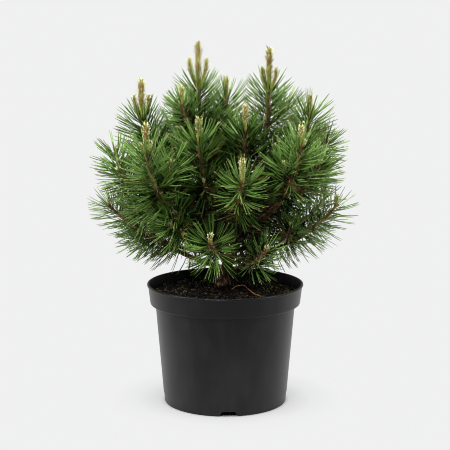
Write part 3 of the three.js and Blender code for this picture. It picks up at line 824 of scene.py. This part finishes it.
limbs = bmesh.new()
for name in shoots:
    path = paths[name]
    reach = lengths_along(path)[-1]
    distances = np.linspace(0, reach, int(reach / LIMB_STEP))
    points = stations(path, distances)[0]
    radii = stem_radius(name, distances / reach)
    young = int(np.searchsorted(distances, reach - shoots[name]["clothed"] * YOUNG_SHARE))
    swept(limbs, points[:young + 1], radii[:young + 1], LIMB_SIDES)
    swept(limbs, points[young:], radii[young:], LIMB_SIDES, slot=1)
barked(limbs, 1)
limb_piece = finished("bough_bark", limbs, [bark, young_bark], crease=70)
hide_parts(*[node_name for node_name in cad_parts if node_name.startswith("bough_")])


# -------------------------------------------------------------- side twigs
# Short side twigs leave the shoots where older needles begin, at golden turns
# round the stem, and reach for the light. Thin dead twigs, bare of needles,
# are left on the boughs inside the crown, their very dark colour partly a
# painted shade.

GOLDEN_TURN = math.pi * (3 - math.sqrt(5))
TWIG_SPACING = 0.024
TWIG_START = 0.58
TWIG_LENGTHS = (0.026, 0.046)
TWIG_RADIUS = 0.0017
TWIG_RINGS = 10
TWIG_SIDES = 8
TWIG_SEED = 7
BARE_TWIGS = 200
BARE_LENGTHS = (0.025, 0.065)
BARE_RADII = (0.0014, 0.0006)
BARE_SIDES = 6
BARE_REACH = 0.115
BARE_HEIGHTS = (0.225, 0.39)
# Dead twigs: a dark brown of their own, made darker still as painted shade inside the crown.
DEAD_TWIG_IN_SHADE = (0.030, 0.019, 0.010)
twigs = []


def side_on(directions, turn):
    """Directions square to the given ones, each at its own turn round them."""
    upright = np.abs(directions[..., 2:]) > 0.85
    across = unit(np.cross(directions, np.where(upright, (1.0, 0, 0), (0, 0, 1.0))))
    return across * np.cos(turn) + np.cross(directions, across) * np.sin(turn)


twig_wood = bmesh.new()
for number, (name, part) in enumerate(shoots.items()):
    chance = np.random.default_rng((TWIG_SEED, number))
    reach = lengths_along(paths[name])[-1]
    turn = chance.uniform(0, 6)
    for place in range(part["twigs"]):
        turn += GOLDEN_TURN
        back = part["clothed"] * TWIG_START + place * TWIG_SPACING + chance.normal(scale=0.003)
        foot, heading = stations(paths[name], max(reach - back, reach * 0.15))
        away = side_on(heading, turn)
        length = chance.uniform(*TWIG_LENGTHS)
        tip = foot + unit(heading * 0.75 + away + (0, 0, 0.25)) * length
        path = grown(foot, tip, heading + (0, 0, 0.8) + away * 0.4)
        twigs.append((name, path, back))
        radii = np.linspace(TWIG_RADIUS, TWIG_RADIUS * 0.75, TWIG_RINGS)
        swept(twig_wood, path[::STEM_STEPS // TWIG_RINGS], radii, TWIG_SIDES)
for number in range(BARE_TWIGS):
    chance = np.random.default_rng((TWIG_SEED, 100 + number))
    name = chance.choice([name for name, part in shoots.items() if not part["bare"]])
    reach = lengths_along(paths[name])[-1]
    foot, heading = stations(paths[name], reach * chance.uniform(0.06, 0.6))
    side = unit(np.cross(heading, chance.normal(size=3)))
    length = chance.uniform(*BARE_LENGTHS)
    tip = foot + unit(heading * 0.6 + side + (0, 0, 0.3)) * length
    if math.hypot(tip[0], tip[1]) > BARE_REACH or not BARE_HEIGHTS[0] < tip[2] < BARE_HEIGHTS[1]:
        continue
    path = grown(foot, tip, heading + side * chance.uniform(-0.6, 0.8) + (0, 0, 0.4))
    radii = np.linspace(*BARE_RADII, TWIG_RINGS)
    swept(twig_wood, path[::STEM_STEPS // TWIG_RINGS], radii, BARE_SIDES, slot=1)
barked(twig_wood, 0.5)
dead_shaded_bark = plain("dead_shaded_bark", DEAD_TWIG_IN_SHADE, 0.85, 900, 0.1)
twig_piece = finished("twig_bark", twig_wood, [bark, dead_shaded_bark], crease=70)


# -------------------------------------------------------------- the needles
# Stiff needles in pairs, each pair out of one short papery sheath. The youngest
# point forward round the shoot's end, older ones stand out and hang a little.

NEEDLE_LENGTH = 0.0425
NEEDLE_SEED = 11
NEEDLE_HALF_WIDTH = 0.00078
PAIRS_PER_METRE = 1400
TWIG_PAIRS_PER_METRE = 980
OLD_STRETCH = 0.012
SHOOT_SKIN = 0.0020
TWIG_SKIN = 0.0014
SHEATH_LENGTH = 0.0032
SHEATH_RADIUS = 0.00075
SHEATH_TONES = {"brown": (0.10, 0.050, 0.025), "tan": (0.20, 0.115, 0.055), "pale": (0.33, 0.30, 0.20)}
SHEATH_SHARES = (0.45, 0.35, 0.2)
# Greens from pale to darkest, then old brown. The darker ones are mostly painted shade: for needles deep in
# the crown, far back on the stem, at each needle's foot and on duller sides. Their gloss falls with them.
GREENS = ((0.178, 0.312, 0.070), (0.130, 0.238, 0.044), (0.092, 0.182, 0.029), (0.051, 0.112, 0.0140),
          (0.018, 0.043, 0.0050), (0.006, 0.015, 0.0018), (0.0022, 0.0052, 0.0008), (0.078, 0.072, 0.014))
GREEN_GLOSS = (0.34, 0.30, 0.24, 0.14, 0.08, 0.04, 0.02, 0.2)
TIP_COLOR = (0.34, 0.35, 0.16)
# Pale tips only on needles of the paler shades, so needles in painted shade get none.
TIPPED_SHADE = 2
TIP_SLOT = len(GREENS)
OLD_SLOT = len(GREENS) - 1
NEEDLE_RINGS = ((0.34, 1.0), (0.68, 0.98), (0.91, 0.66))
NEEDLE_FLATNESS = 0.75
# Painted light on each needle: the lit side one shade paler as a painted highlight, the foot third two shades
# darker as painted shade.
DULL_SIDE, LIT_SIDE, POINT, FOOT = range(4)
SHADE_SHIFTS = (0, -1, 0, 2)
TURN_SPREAD = 0.3
OPENING_SPREAD = 3.5
NEEDLE_CURVES = (0.02, 0.24)
SHADE_SPREAD = 0.85
OPENINGS = ((0, 24), (0.003, 40), (0.012, 54), (0.030, 61), (0.060, 70), (0.100, 84))
HANGING = ((0, 0.0), (0.05, 0.6), (0.1, 1.0))
LENGTH_SHARES = ((0, 0.84), (0.012, 1.0), (0.07, 0.98), (0.1, 0.86))
OLD_SHARES = ((0, 0.01), (0.1, 0.08))
PAIR_SPLIT = (2.5, 8.5)
CROWN_GIRTHS = ((0.17, 0.115), (0.20, 0.135), (0.24, 0.158), (0.29, 0.190))
CROWN_MIDDLE = 0.27
CROWN_RISE = 0.20
# Painted shade: needles are made darker the deeper in the crown they end, and the further back on the stem
# they stand, which is partly their age.
PAINTED_CROWN_SHADE = ((0.30, 5.4), (0.55, 3.2), (0.78, 1.2), (0.95, 0.0))
AGEING_AND_SHADE = ((0.015, 0.0), (0.10, 1.0))
SIZE_MARGIN = 0.008
POT_MOUTH = 0.098
UNDERSIDE_SLOPE = 0.35
SOIL_CLEAR = 0.184
RIM_CLEAR = 0.179
BACK_CLEAR = 0.198
BACK_START = 0.02
BACK_HALF_WIDTH = 0.080
STEM_GAP_SIDES = (-0.008, 0.007)
STEM_GAP_FRONT = -0.08
STEM_GAP_TOP = 0.208
TOP_START = 0.40
FRONT_START = -135
SIDE_ENDS = {"front": 90, "right": 155, "back_right": 228, "back_left": 300, "left": 360}


def read_off(table, place):
    """The values that a table of (place, value) rows gives at some places."""
    return np.interp(place, *zip(*table))


needle = spike(3, 0.8, NEEDLE_RINGS)
for vert in needle.verts:
    vert.co.y *= NEEDLE_FLATNESS
for face in needle.faces:
    height = face.calc_center_median().z
    face.material_index = LIT_SIDE if face.normal.y > 0.5 else DULL_SIDE
    if height > NEEDLE_RINGS[-1][0]:
        face.material_index = POINT
    if height < NEEDLE_RINGS[0][0]:
        face.material_index = FOOT
needle = pattern_of(needle)
sheath = pattern_of(spike(5, 1.0, tip=0.6))
regions = {}
cad_low, cad_high = [np.array(corner) for corner in cad_box]


def region_of(part):
    """The side of the crown that a shoot is on, by degrees round from the front's left end."""
    if part["height"] > TOP_START:
        return "top"
    bearing = (part["bearing"] - FRONT_START) % 360
    return next(side for side, end in SIDE_ENDS.items() if bearing <= end)


def shades_of(ends, back, tone, age):
    """The shade of each pair of needles: painted shade deep in the crown, darker further back on the stem,
    partly with age and partly as painted shade, and brown when old.
    """
    above = np.maximum(0, ends[:, 2] - CROWN_MIDDLE) / CROWN_RISE
    out = np.hypot(ends[:, 0], ends[:, 1]) / read_off(CROWN_GIRTHS, ends[:, 2])
    depth = read_off(PAINTED_CROWN_SHADE, np.hypot(out, above)) + age * read_off(AGEING_AND_SHADE, back)
    shade = np.rint(tone + depth + chance.normal(scale=SHADE_SPREAD, size=len(ends))).astype(int)
    shade = shade.clip(0, OLD_SLOT - 1)
    shade[chance.uniform(size=len(ends)) < read_off(OLD_SHARES, back)] = OLD_SLOT
    return shade.astype(float)


def in_the_clear(ends):
    """Which pairs end clear of the soil, the rim and the trunk's foot, and not far past the CAD box."""
    beyond = np.hypot(ends[:, 0], ends[:, 1]) - POT_MOUTH
    lowest = np.where(beyond < 0, SOIL_CLEAR, RIM_CLEAR + beyond * UNDERSIDE_SLOPE)
    behind = (ends[:, 1] > BACK_START) & (np.abs(ends[:, 0]) < BACK_HALF_WIDTH)
    before_stem = (ends[:, 0] > STEM_GAP_SIDES[0]) & (ends[:, 0] < STEM_GAP_SIDES[1])
    before_stem &= (ends[:, 1] < STEM_GAP_FRONT) & (ends[:, 2] < STEM_GAP_TOP)
    high_enough = ends[:, 2] > np.where(behind, np.maximum(lowest, BACK_CLEAR), lowest)
    inside = np.all((ends > cad_low - SIZE_MARGIN) & (ends < cad_high + SIZE_MARGIN), axis=1)
    return high_enough & inside & ~before_stem


def clothe(part, path, clothed, pairs, radius, broad, age):
    """Sets pairs of needles round the last stretch of a stem and adds them to a side of the crown."""
    reach = lengths_along(path)[-1]
    back = (np.arange(pairs) + chance.uniform(0, 1, pairs)) / pairs * min(clothed, reach)
    feet, along = stations(path, reach - back)
    turn = GOLDEN_TURN * np.arange(pairs) + chance.normal(scale=TURN_SPREAD, size=pairs)
    away = side_on(along, turn[:, None])
    opening = read_off(OPENINGS, back) + chance.normal(scale=OPENING_SPREAD, size=pairs)
    opening = np.radians(opening)[:, None]
    headings = along * np.cos(opening) + away * np.sin(opening)
    headings = unit(headings + np.array((0, 0, -1)) * read_off(HANGING, back)[:, None] * part["droop"])
    lengths = part["long"] * NEEDLE_LENGTH * read_off(LENGTH_SHARES, back)
    lengths *= chance.normal(1, 0.05, pairs).clip(0.85, 1.12)
    feet = feet + away * radius
    starts = feet + headings * SHEATH_LENGTH * 0.8
    split = unit(np.cross(headings, chance.normal(size=headings.shape)))
    half = np.tan(np.radians(chance.uniform(*PAIR_SPLIT, pairs)))[:, None]
    turned_in = unit(along * 0.8 + np.array((0, 0, 0.35))) - away * 0.2
    turned_in -= headings * np.sum(turned_in * headings, axis=1, keepdims=True)
    curve = turned_in * chance.uniform(*NEEDLE_CURVES, pairs)[:, None]
    ends = starts + lengths[:, None] * (headings + curve)
    shades = shades_of(ends, back, part["tone"], age)
    kept = in_the_clear(ends)
    region = regions.setdefault(region_of(part), [])
    for sign in (-1, 1):
        region.append([row[kept] for row in (
            starts, unit(headings + split * half * sign), curve - split * half * sign * 0.35,
            lengths * chance.uniform(0.95, 1.05, pairs), shades, np.full(pairs, broad))])
    sheaths.append([feet[kept], headings[kept]])


def needle_points(starts, headings, curves, lengths, half_widths):
    """The points of many needles, each turned its own way about its own line."""
    first = side_on(headings, chance.uniform(0, 2 * math.pi, len(starts))[:, None])
    second = np.cross(headings, first)
    shares = needle[0][:, 2]
    middle = headings[:, None] * shares[None, :, None] + curves[:, None] * (shares ** 2)[None, :, None]
    section = needle[0][None, :, 0, None] * first[:, None] + needle[0][None, :, 1, None] * second[:, None]
    return starts[:, None] + middle * lengths[:, None, None] + section * half_widths[:, None, None]


sheaths = []
for number, (name, part) in enumerate(shoots.items()):
    chance = np.random.default_rng((NEEDLE_SEED, number))
    clothed = part["clothed"] + OLD_STRETCH
    pairs = int(clothed * PAIRS_PER_METRE * part["full"])
    clothe(part, paths[name], clothed, pairs, SHOOT_SKIN, part["broad"], part["age"])
for number, (name, path, back) in enumerate(twigs):
    chance = np.random.default_rng((NEEDLE_SEED, 100 + number))
    reach = lengths_along(path)[-1]
    pairs = int(reach * TWIG_PAIRS_PER_METRE)
    clothe(shoots[name], path, reach, pairs, TWIG_SKIN, USUAL["broad"], USUAL["age"])

needle_materials = [plain(f"needle_green_{index + 1}", green, 0.45, 700, gloss)
                    for index, (green, gloss) in enumerate(zip(GREENS, GREEN_GLOSS))]
needle_materials.append(plain("needle_tip", TIP_COLOR, 0.5, 700))
for side, sprays in regions.items():
    starts, headings, curves, lengths, shades, breadths = [np.concatenate(part) for part in zip(*sprays)]
    points = needle_points(starts, headings, curves, lengths, NEEDLE_HALF_WIDTH * breadths)
    shades = shades.astype(int)[:, None]
    # Painted highlight on the lit side and painted shade on the foot third of each needle.
    shifts = np.choose(needle[2], SHADE_SHIFTS)
    tipped = (needle[2] == POINT) & (shades <= TIPPED_SHADE)
    slots = np.where(tipped, TIP_SLOT, (shades + shifts).clip(0, OLD_SLOT))
    piece = joined(f"needles_{side}", needle, points, slots, needle_materials)
    own = [f"foliage_{name}" for name, part in shoots.items() if region_of(part) == side]
    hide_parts(*[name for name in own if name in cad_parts])

feet, headings = [np.concatenate(part) for part in zip(*sheaths)]
local = np.tile(sheath[0] * (SHEATH_RADIUS, SHEATH_RADIUS, SHEATH_LENGTH), (len(feet), 1, 1))
points = carried(local, frames_about(headings), feet)
tones = chance.choice(3, len(feet), p=SHEATH_SHARES)
sheath_piece = joined("needle_sheaths", sheath, points, tones,
                      [plain(f"sheath_{tone}", color, 0.7, 1200) for tone, color in SHEATH_TONES.items()])


# ----------------------------------------------------------- spring candles
# New shoots before their needles open: a green stalk, brown higher up, set with
# rows of cream and brown scales that stand out and end in a tuft of points. An
# old grey cone and a few dead needles, rust brown, hang among the green ones.

STALK_RINGS = 13
STALK_SIDES = 10
CANDLE_STALK = ((0, 0.0020), (0.3, 0.0022), (0.6, 0.0026), (0.9, 0.0027), (1, 0.0016))
GREEN_RINGS = 5
CANDLE_LEAN = 20
SIDE_CANDLE_BEARINGS = (0, 180, -90)
SIDE_CANDLE_GAP = 0.0022
SCALE_ROW = 0.0040
SCALES_IN_ROW = 5
CANDLE_GIRTHS = ((0.005, 0.50), (0.015, 0.66), (0.030, 0.92), (0.042, 1.02), (0.060, 1.16))
SIDE_CANDLE_GIRTH = 0.76
BROWN_FOOT_SHARES = ((0.043, 0.10), (0.058, 0.20))
GREEN_TIP_SHARES = ((0.043, 0.15), (0.058, 0.35))
BROWN_SCALE_SHARES = ((0.030, 0.0), (0.055, 0.32))
GREEN_PART = ((0.043, 0.25), (0.058, 0.42))
TUFT_BROWN_SHARES = ((0.75, 0.04), (1, 0.12))
SCALE_OPENINGS = ((0, 42), (0.5, 52), (0.93, 50), (1, 26))
SCALE_LENGTHS = ((0, 0.0027), (0.4, 0.0042), (0.9, 0.0052), (1, 0.0056))
SCALE_SPREAD = (0.65, 1.25)
BRISTLE_RINGS = ((0.35, 1.0), (0.74, 0.78))
BRISTLE_HALF_WIDTH = 0.0012
BRISTLE_THICKNESS = 0.62
BRISTLE_OVERHANG = 0.0047
BUD_LENGTH = 0.0085
TWIG_BUD_LENGTH = 0.0065
FOOT_COLLAR = (14, 0.0036)
WHORL_COLLAR = (16, 0.0030)
COLLAR_RING = 0.0021
COLLAR_DEPTH = 0.0025
COLLAR_HALF_WIDTH = 0.0008
CANDLE_TONES = {"cream": (0.64, 0.63, 0.35), "pale_green": (0.44, 0.47, 0.16),
                "yellow_green": (0.30, 0.34, 0.04), "bract_brown": (0.19, 0.080, 0.026),
                "scale_pink": (0.44, 0.28, 0.17), "cone_grey": (0.21, 0.145, 0.100),
                "needle_rust": (0.34, 0.095, 0.020)}
CREAM, PALE_GREEN, YELLOW_GREEN, BRACT, SCALE, CONE, RUST = range(len(CANDLE_TONES))
CONE_PLACE = np.array((0.0945, -0.062, 0.319))
CONE_LINE = np.array((0.80, -0.55, -0.10))
CONE_HALVES = (0.0058, 0.0042)
CONE_SCALES = 64
CONE_SCALE_SIZE = (0.0036, 0.0014)
DEAD_LENGTHS = (0.006, 0.012)
DEAD_HALF_WIDTH = 0.0009
DEAD_NEEDLES = (((0.0985, -0.068, 0.3170), (0.9, -0.1, 0.45)), ((0.1030, -0.064, 0.3065), (0.35, -0.3, 0.6)),
                ((0.0970, -0.066, 0.3040), (0.6, -0.4, -0.2)), ((-0.0580, -0.104, 0.2580), (0.3, -0.3, 0.9)),
                ((-0.0960, 0.010, 0.2450), (0.5, -0.6, 0.3)), ((0.0500, -0.085, 0.2330), (0.7, -0.5, 0.2)))

bristle = spike(4, 0.55, BRISTLE_RINGS)
for face in bristle.faces:
    face.material_index = int(face.calc_center_median().z < 0.5)
bristle = pattern_of(bristle)
stalks = bmesh.new()
bristles = []


def bristled(feet, ups, away, lengths, half_widths, tones, feet_tones=None):
    """Notes a set of scales or bristles: their feet, the ways they point and face, sizes and tones."""
    feet_tones = tones if feet_tones is None else feet_tones
    bristles.append([feet, ups, np.broadcast_to(away, feet.shape),
                     *[np.full(len(feet), row) for row in (lengths, half_widths, tones, feet_tones)]])


def scale_tones(share, row, length):
    """The tone of each scale of a candle and of its foot, from its share of the way up and its row; near the
    top some cream turns pale green as painted shade.
    """
    draw = chance.uniform(size=len(row))
    clothing = share + chance.normal(scale=0.10, size=len(row))
    green_part = read_off(GREEN_PART, length)
    pale = np.where(draw > read_off(GREEN_TIP_SHARES, length), CREAM, PALE_GREEN)
    tones = np.where(clothing < green_part, YELLOW_GREEN, pale)
    tones = np.where((draw < read_off(TUFT_BROWN_SHARES, share)) & (clothing > 0.2), BRACT, tones)
    # Painted shade: near the top, where the light from above falls fullest, some cream scales turn pale
    # green.
    tones = np.where((share > 0.9) & (tones == CREAM) & (draw % 0.1 < 0.06), PALE_GREEN, tones)
    green_feet = np.where(clothing > 0.4, PALE_GREEN, YELLOW_GREEN)
    brown_feet = draw % 0.2 < 0.2 * read_off(BROWN_FOOT_SHARES, length)
    feet_tones = np.where((clothing > 0.22) & brown_feet, BRACT, green_feet)
    brown = chance.uniform(size=len(row)) < read_off(BROWN_SCALE_SHARES, length)
    brown &= (clothing > green_part) & (row < row[-1] - 1)
    return np.where(brown, BRACT, (tones, feet_tones))


def candle(foot, length, lean, bearing, girth=1.0):
    """One candle standing on its foot. A side candle leans out first and then rises."""
    rise = max(length - BRISTLE_OVERHANG, length * 0.6)
    tip = foot + outward(bearing) * math.sin(lean) * length * 0.62 + np.array((0, 0, math.cos(lean) * rise))
    path = grown(foot, tip, np.array((0, 0, 1.0)), rise=0.8)
    reach = lengths_along(path)[-1]
    girth = girth * read_off(CANDLE_GIRTHS, length)
    shares = np.linspace(0, 1, STALK_RINGS)
    line = stations(path, shares * reach)[0]
    radii = read_off(CANDLE_STALK, shares) * girth
    swept(stalks, line[:GREEN_RINGS], radii[:GREEN_RINGS], STALK_SIDES)
    swept(stalks, line[GREEN_RINGS - 1:], radii[GREEN_RINGS - 1:], STALK_SIDES, slot=1)

    rows = int(length / SCALE_ROW) + 3
    row = np.repeat(np.arange(rows), SCALES_IN_ROW)
    count = len(row)
    share = 0.05 + 0.935 * (row + chance.uniform(-0.12, 0.12, count)).clip(0, rows - 1) / (rows - 1)
    feet, along = stations(path, share * reach)
    turn = (2 * math.pi * np.arange(count) + GOLDEN_TURN * row) / SCALES_IN_ROW
    away = side_on(along, turn[:, None])
    opening = np.radians(read_off(SCALE_OPENINGS, share) + chance.normal(scale=5, size=count))[:, None]
    sizes = read_off(SCALE_LENGTHS, share) * (0.45 + girth * 0.55)
    tones, feet_tones = scale_tones(share, row, length)
    bristled(feet + away * read_off(CANDLE_STALK, share)[:, None] * girth * 0.85,
             along * np.cos(opening) + away * np.sin(opening), away,
             sizes * chance.uniform(*SCALE_SPREAD, count), BRISTLE_HALF_WIDTH * (0.5 + girth * 0.5),
             tones, feet_tones)


def bud_scales(foot, count, size):
    """A collar of papery scales round a stem, at a candle's foot or where last year's growth began."""
    turn = (GOLDEN_TURN * np.arange(count))[:, None]
    away = np.concatenate([np.cos(turn), np.sin(turn), np.zeros_like(turn)], axis=1)
    ups = unit(away * chance.uniform(0.35, 1.1, (count, 1)) + (0, 0, 1))
    feet = foot + away * COLLAR_RING + np.array((0, 0, -1)) * chance.uniform(0, COLLAR_DEPTH, (count, 1))
    tones = chance.choice((SCALE, BRACT), count, p=(0.55, 0.45))
    bristled(feet, ups, away, size, COLLAR_HALF_WIDTH, tones)


for name, part in shoots.items():
    tip = paths[name][-1]
    length = part["candle"] or BUD_LENGTH
    candle(tip, length, 0, 0)
    bud_scales(tip, *FOOT_COLLAR)
    for bearing in SIDE_CANDLE_BEARINGS[:part["sides"]]:
        candle(tip + outward(bearing) * SIDE_CANDLE_GAP, length * part["side"], math.radians(CANDLE_LEAN),
               bearing, SIDE_CANDLE_GIRTH)
    reach = lengths_along(paths[name])[-1]
    whorl = stations(paths[name], reach - part["clothed"] * YOUNG_SHARE)[0]
    bud_scales(whorl, *WHORL_COLLAR)
for name, path, back in twigs:
    candle(path[-1], TWIG_BUD_LENGTH, 0, 0)

line = unit(CONE_LINE)
away = side_on(line, (GOLDEN_TURN * np.arange(CONE_SCALES))[:, None])
climb = np.linspace(-0.95, 0.9, CONE_SCALES)[:, None]
belly = np.sqrt(1 - climb ** 2) * CONE_HALVES[1] * (1 - 0.3 * climb)
feet = CONE_PLACE + line * climb * CONE_HALVES[0] + away * belly
bristled(feet, unit(line * 0.9 + away * 0.5), away, *CONE_SCALE_SIZE, CONE)
for place, heading in DEAD_NEEDLES:
    spread = unit(np.array(heading) + chance.normal(scale=0.12, size=(3, 3)))
    feet = place + chance.normal(scale=0.0012, size=(3, 3))
    bristled(feet, spread, (0, 0, 1.0), chance.uniform(*DEAD_LENGTHS, 3), DEAD_HALF_WIDTH, RUST)

stalk_skin, tree, shader = surface("candle_stalk", 0.5, 0.25)
colored(tree, shader, grain(tree, 420, 4, (1, 1, 0.35)), (0.40, (0.26, 0.31, 0.03)),
        (0.56, (0.33, 0.35, 0.08)), (0.68, (0.26, 0.14, 0.05)))
raised(tree, shader, grain(tree, 1800, 3, (1, 1, 0.4)), 0.0003, 0.5)
bract_skin, tree, shader = surface("candle_bract_skin", 0.6, 0.2)
colored(tree, shader, grain(tree, 420, 4, (1, 1, 0.35)), (0.36, (0.27, 0.26, 0.045)),
        (0.54, (0.22, 0.150, 0.038)), (0.70, (0.11, 0.050, 0.018)))
stalk_piece = finished("candle_stalks", stalks, [stalk_skin, bract_skin], crease=60)

feet, ups, away, lengths, widths, tones, feet_tones = [np.concatenate(part) for part in zip(*bristles)]
beside = unit(np.cross(ups, away))
frames = np.stack([beside, np.cross(beside, ups), ups], axis=1)
local = bristle[0][None] * np.stack([widths, widths * BRISTLE_THICKNESS, lengths], axis=1)[:, None]
points = carried(local, frames, feet)
slots = np.where(bristle[2] == 1, feet_tones[:, None], tones[:, None])
bristle_piece = joined("candle_bristles", bristle, points, slots,
                       [plain(f"candle_{tone}", color, 0.55, 1500) for tone, color in CANDLE_TONES.items()])


# ------------------------------------------------- floor, light and camera
# A plain pale studio: white walls, a dark ceiling, soft lamps above, and a floor
# that takes a soft shadow only near the pot.

STUDIO_WHITE = (0.868, 0.872, 0.871)
CEILING_GREY = (0.12, 0.12, 0.12)
WALL_TOP = 0.06
CEILING_START = 0.32
FLOOR_RADIUS = 6.0
FLOOR_GREY = 0.34
FADE_REACH = 0.5
FADE_SHARES = ((0.165, 0.0), (0.185, 0.70), (0.25, 0.90), (0.34, 1.0))
DIM_WALL = (-0.7, 0.3, 0.25)
DIM_FLOOR = (-0.7, 0.1, 0.42)
CAMERA_PLACE = (0, -1.911, 0.577)
CAMERA_PITCH = 80.49
FOCAL_PIXELS = 1356
IMAGE_PIXELS = 450
CENTRE_PIXEL = 225.2
SENSOR_WIDTH = 36
LAMPS = {"lamp_above": ((-0.1, -0.5, 2.4), (0.9, 0.7), 85), "lamp_left": ((-1.9, -0.5, 1.5), (0.9, 0.9), 30),
         "lamp_right": ((1.9, -0.5, 1.5), (0.9, 0.9), 26), "lamp_front": ((-0.5, -2.0, 1.7), (0.6, 0.6), 36)}
LAMP_AIM = (0, 0, 0.3)


def dimmed(tree, place, start, end, least):
    """A light's strength: dim in front of the plant, and whole behind it and where it is seen."""
    share = ranged(tree, part_of(tree, place, "Y"), least, 1, start, end)
    seen = node(tree, "ShaderNodeLightPath", "Is Camera Ray", {})
    return node(tree, "ShaderNodeMath", "Value", {0: share, 1: seen}, operation="MAXIMUM")


floor_shape = bmesh.new()
bmesh.ops.create_circle(floor_shape, cap_ends=True, segments=96, radius=FLOOR_RADIUS)
bmesh.ops.translate(floor_shape, verts=floor_shape.verts, vec=(0, 0, -0.0002))
floor = placed("floor", mesh_of("floor", floor_shape))

floor_paint = bpy.data.materials.new("floor_paint")
floor_paint.use_nodes = True
tree = floor_paint.node_tree
tree.nodes.clear()
place = own_place(tree)
from_pot = node(tree, "ShaderNodeVectorMath", "Value", {0: place}, operation="LENGTH")
glow_share = toned(tree, ranged(tree, from_pot, 0, 1, 0, FADE_REACH),
                   *[(distance, (share, share, share)) for distance, share in FADE_SHARES])
matte = node(tree, "ShaderNodeBsdfDiffuse", "BSDF", {"Color": (FLOOR_GREY, FLOOR_GREY, FLOOR_GREY, 1)})
glow = node(tree, "ShaderNodeEmission", "Emission", {
    "Color": (*STUDIO_WHITE, 1), "Strength": dimmed(tree, place, *DIM_FLOOR)})
whole = node(tree, "ShaderNodeMixShader", "Shader", {"Fac": glow_share, 1: matte, 2: glow})
tree.links.new(whole, tree.nodes.new("ShaderNodeOutputMaterial").inputs["Surface"])
floor.data.materials.append(floor_paint)

world = bpy.data.worlds.new("studio")
world.use_nodes = True
tree = world.node_tree
direction = node(tree, "ShaderNodeTexCoord", "Generated", {})
climb = ranged(tree, part_of(tree, direction, "Z"), 0, 1, WALL_TOP, CEILING_START)
climb.node.interpolation_type = "SMOOTHSTEP"
background = tree.nodes["Background"]
tree.links.new(toned(tree, climb, (0, STUDIO_WHITE), (1, CEILING_GREY)), background.inputs["Color"])
tree.links.new(dimmed(tree, direction, *DIM_WALL), background.inputs["Strength"])
scene = bpy.context.scene
scene.world = world

for name, (place, size, power) in LAMPS.items():
    light = bpy.data.lights.new(name, "AREA")
    light.shape = "RECTANGLE"
    light.size, light.size_y = size
    light.energy = power
    lamp = placed(name, light)
    lamp.location = place
    lamp.rotation_euler = (Vector(LAMP_AIM) - Vector(place)).to_track_quat("-Z", "Y").to_euler()
    lamp.visible_camera = False

camera = placed("camera", bpy.data.cameras.new("camera"))
camera.location = CAMERA_PLACE
camera.rotation_euler = (math.radians(CAMERA_PITCH), 0, 0)
camera.data.sensor_width = SENSOR_WIDTH
camera.data.lens = SENSOR_WIDTH * FOCAL_PIXELS / IMAGE_PIXELS
camera.data.shift_x = (IMAGE_PIXELS / 2 - CENTRE_PIXEL) / IMAGE_PIXELS
scene.camera = camera
scene.view_settings.view_transform = "Standard"
scene.cycles.filter_width = 1.0
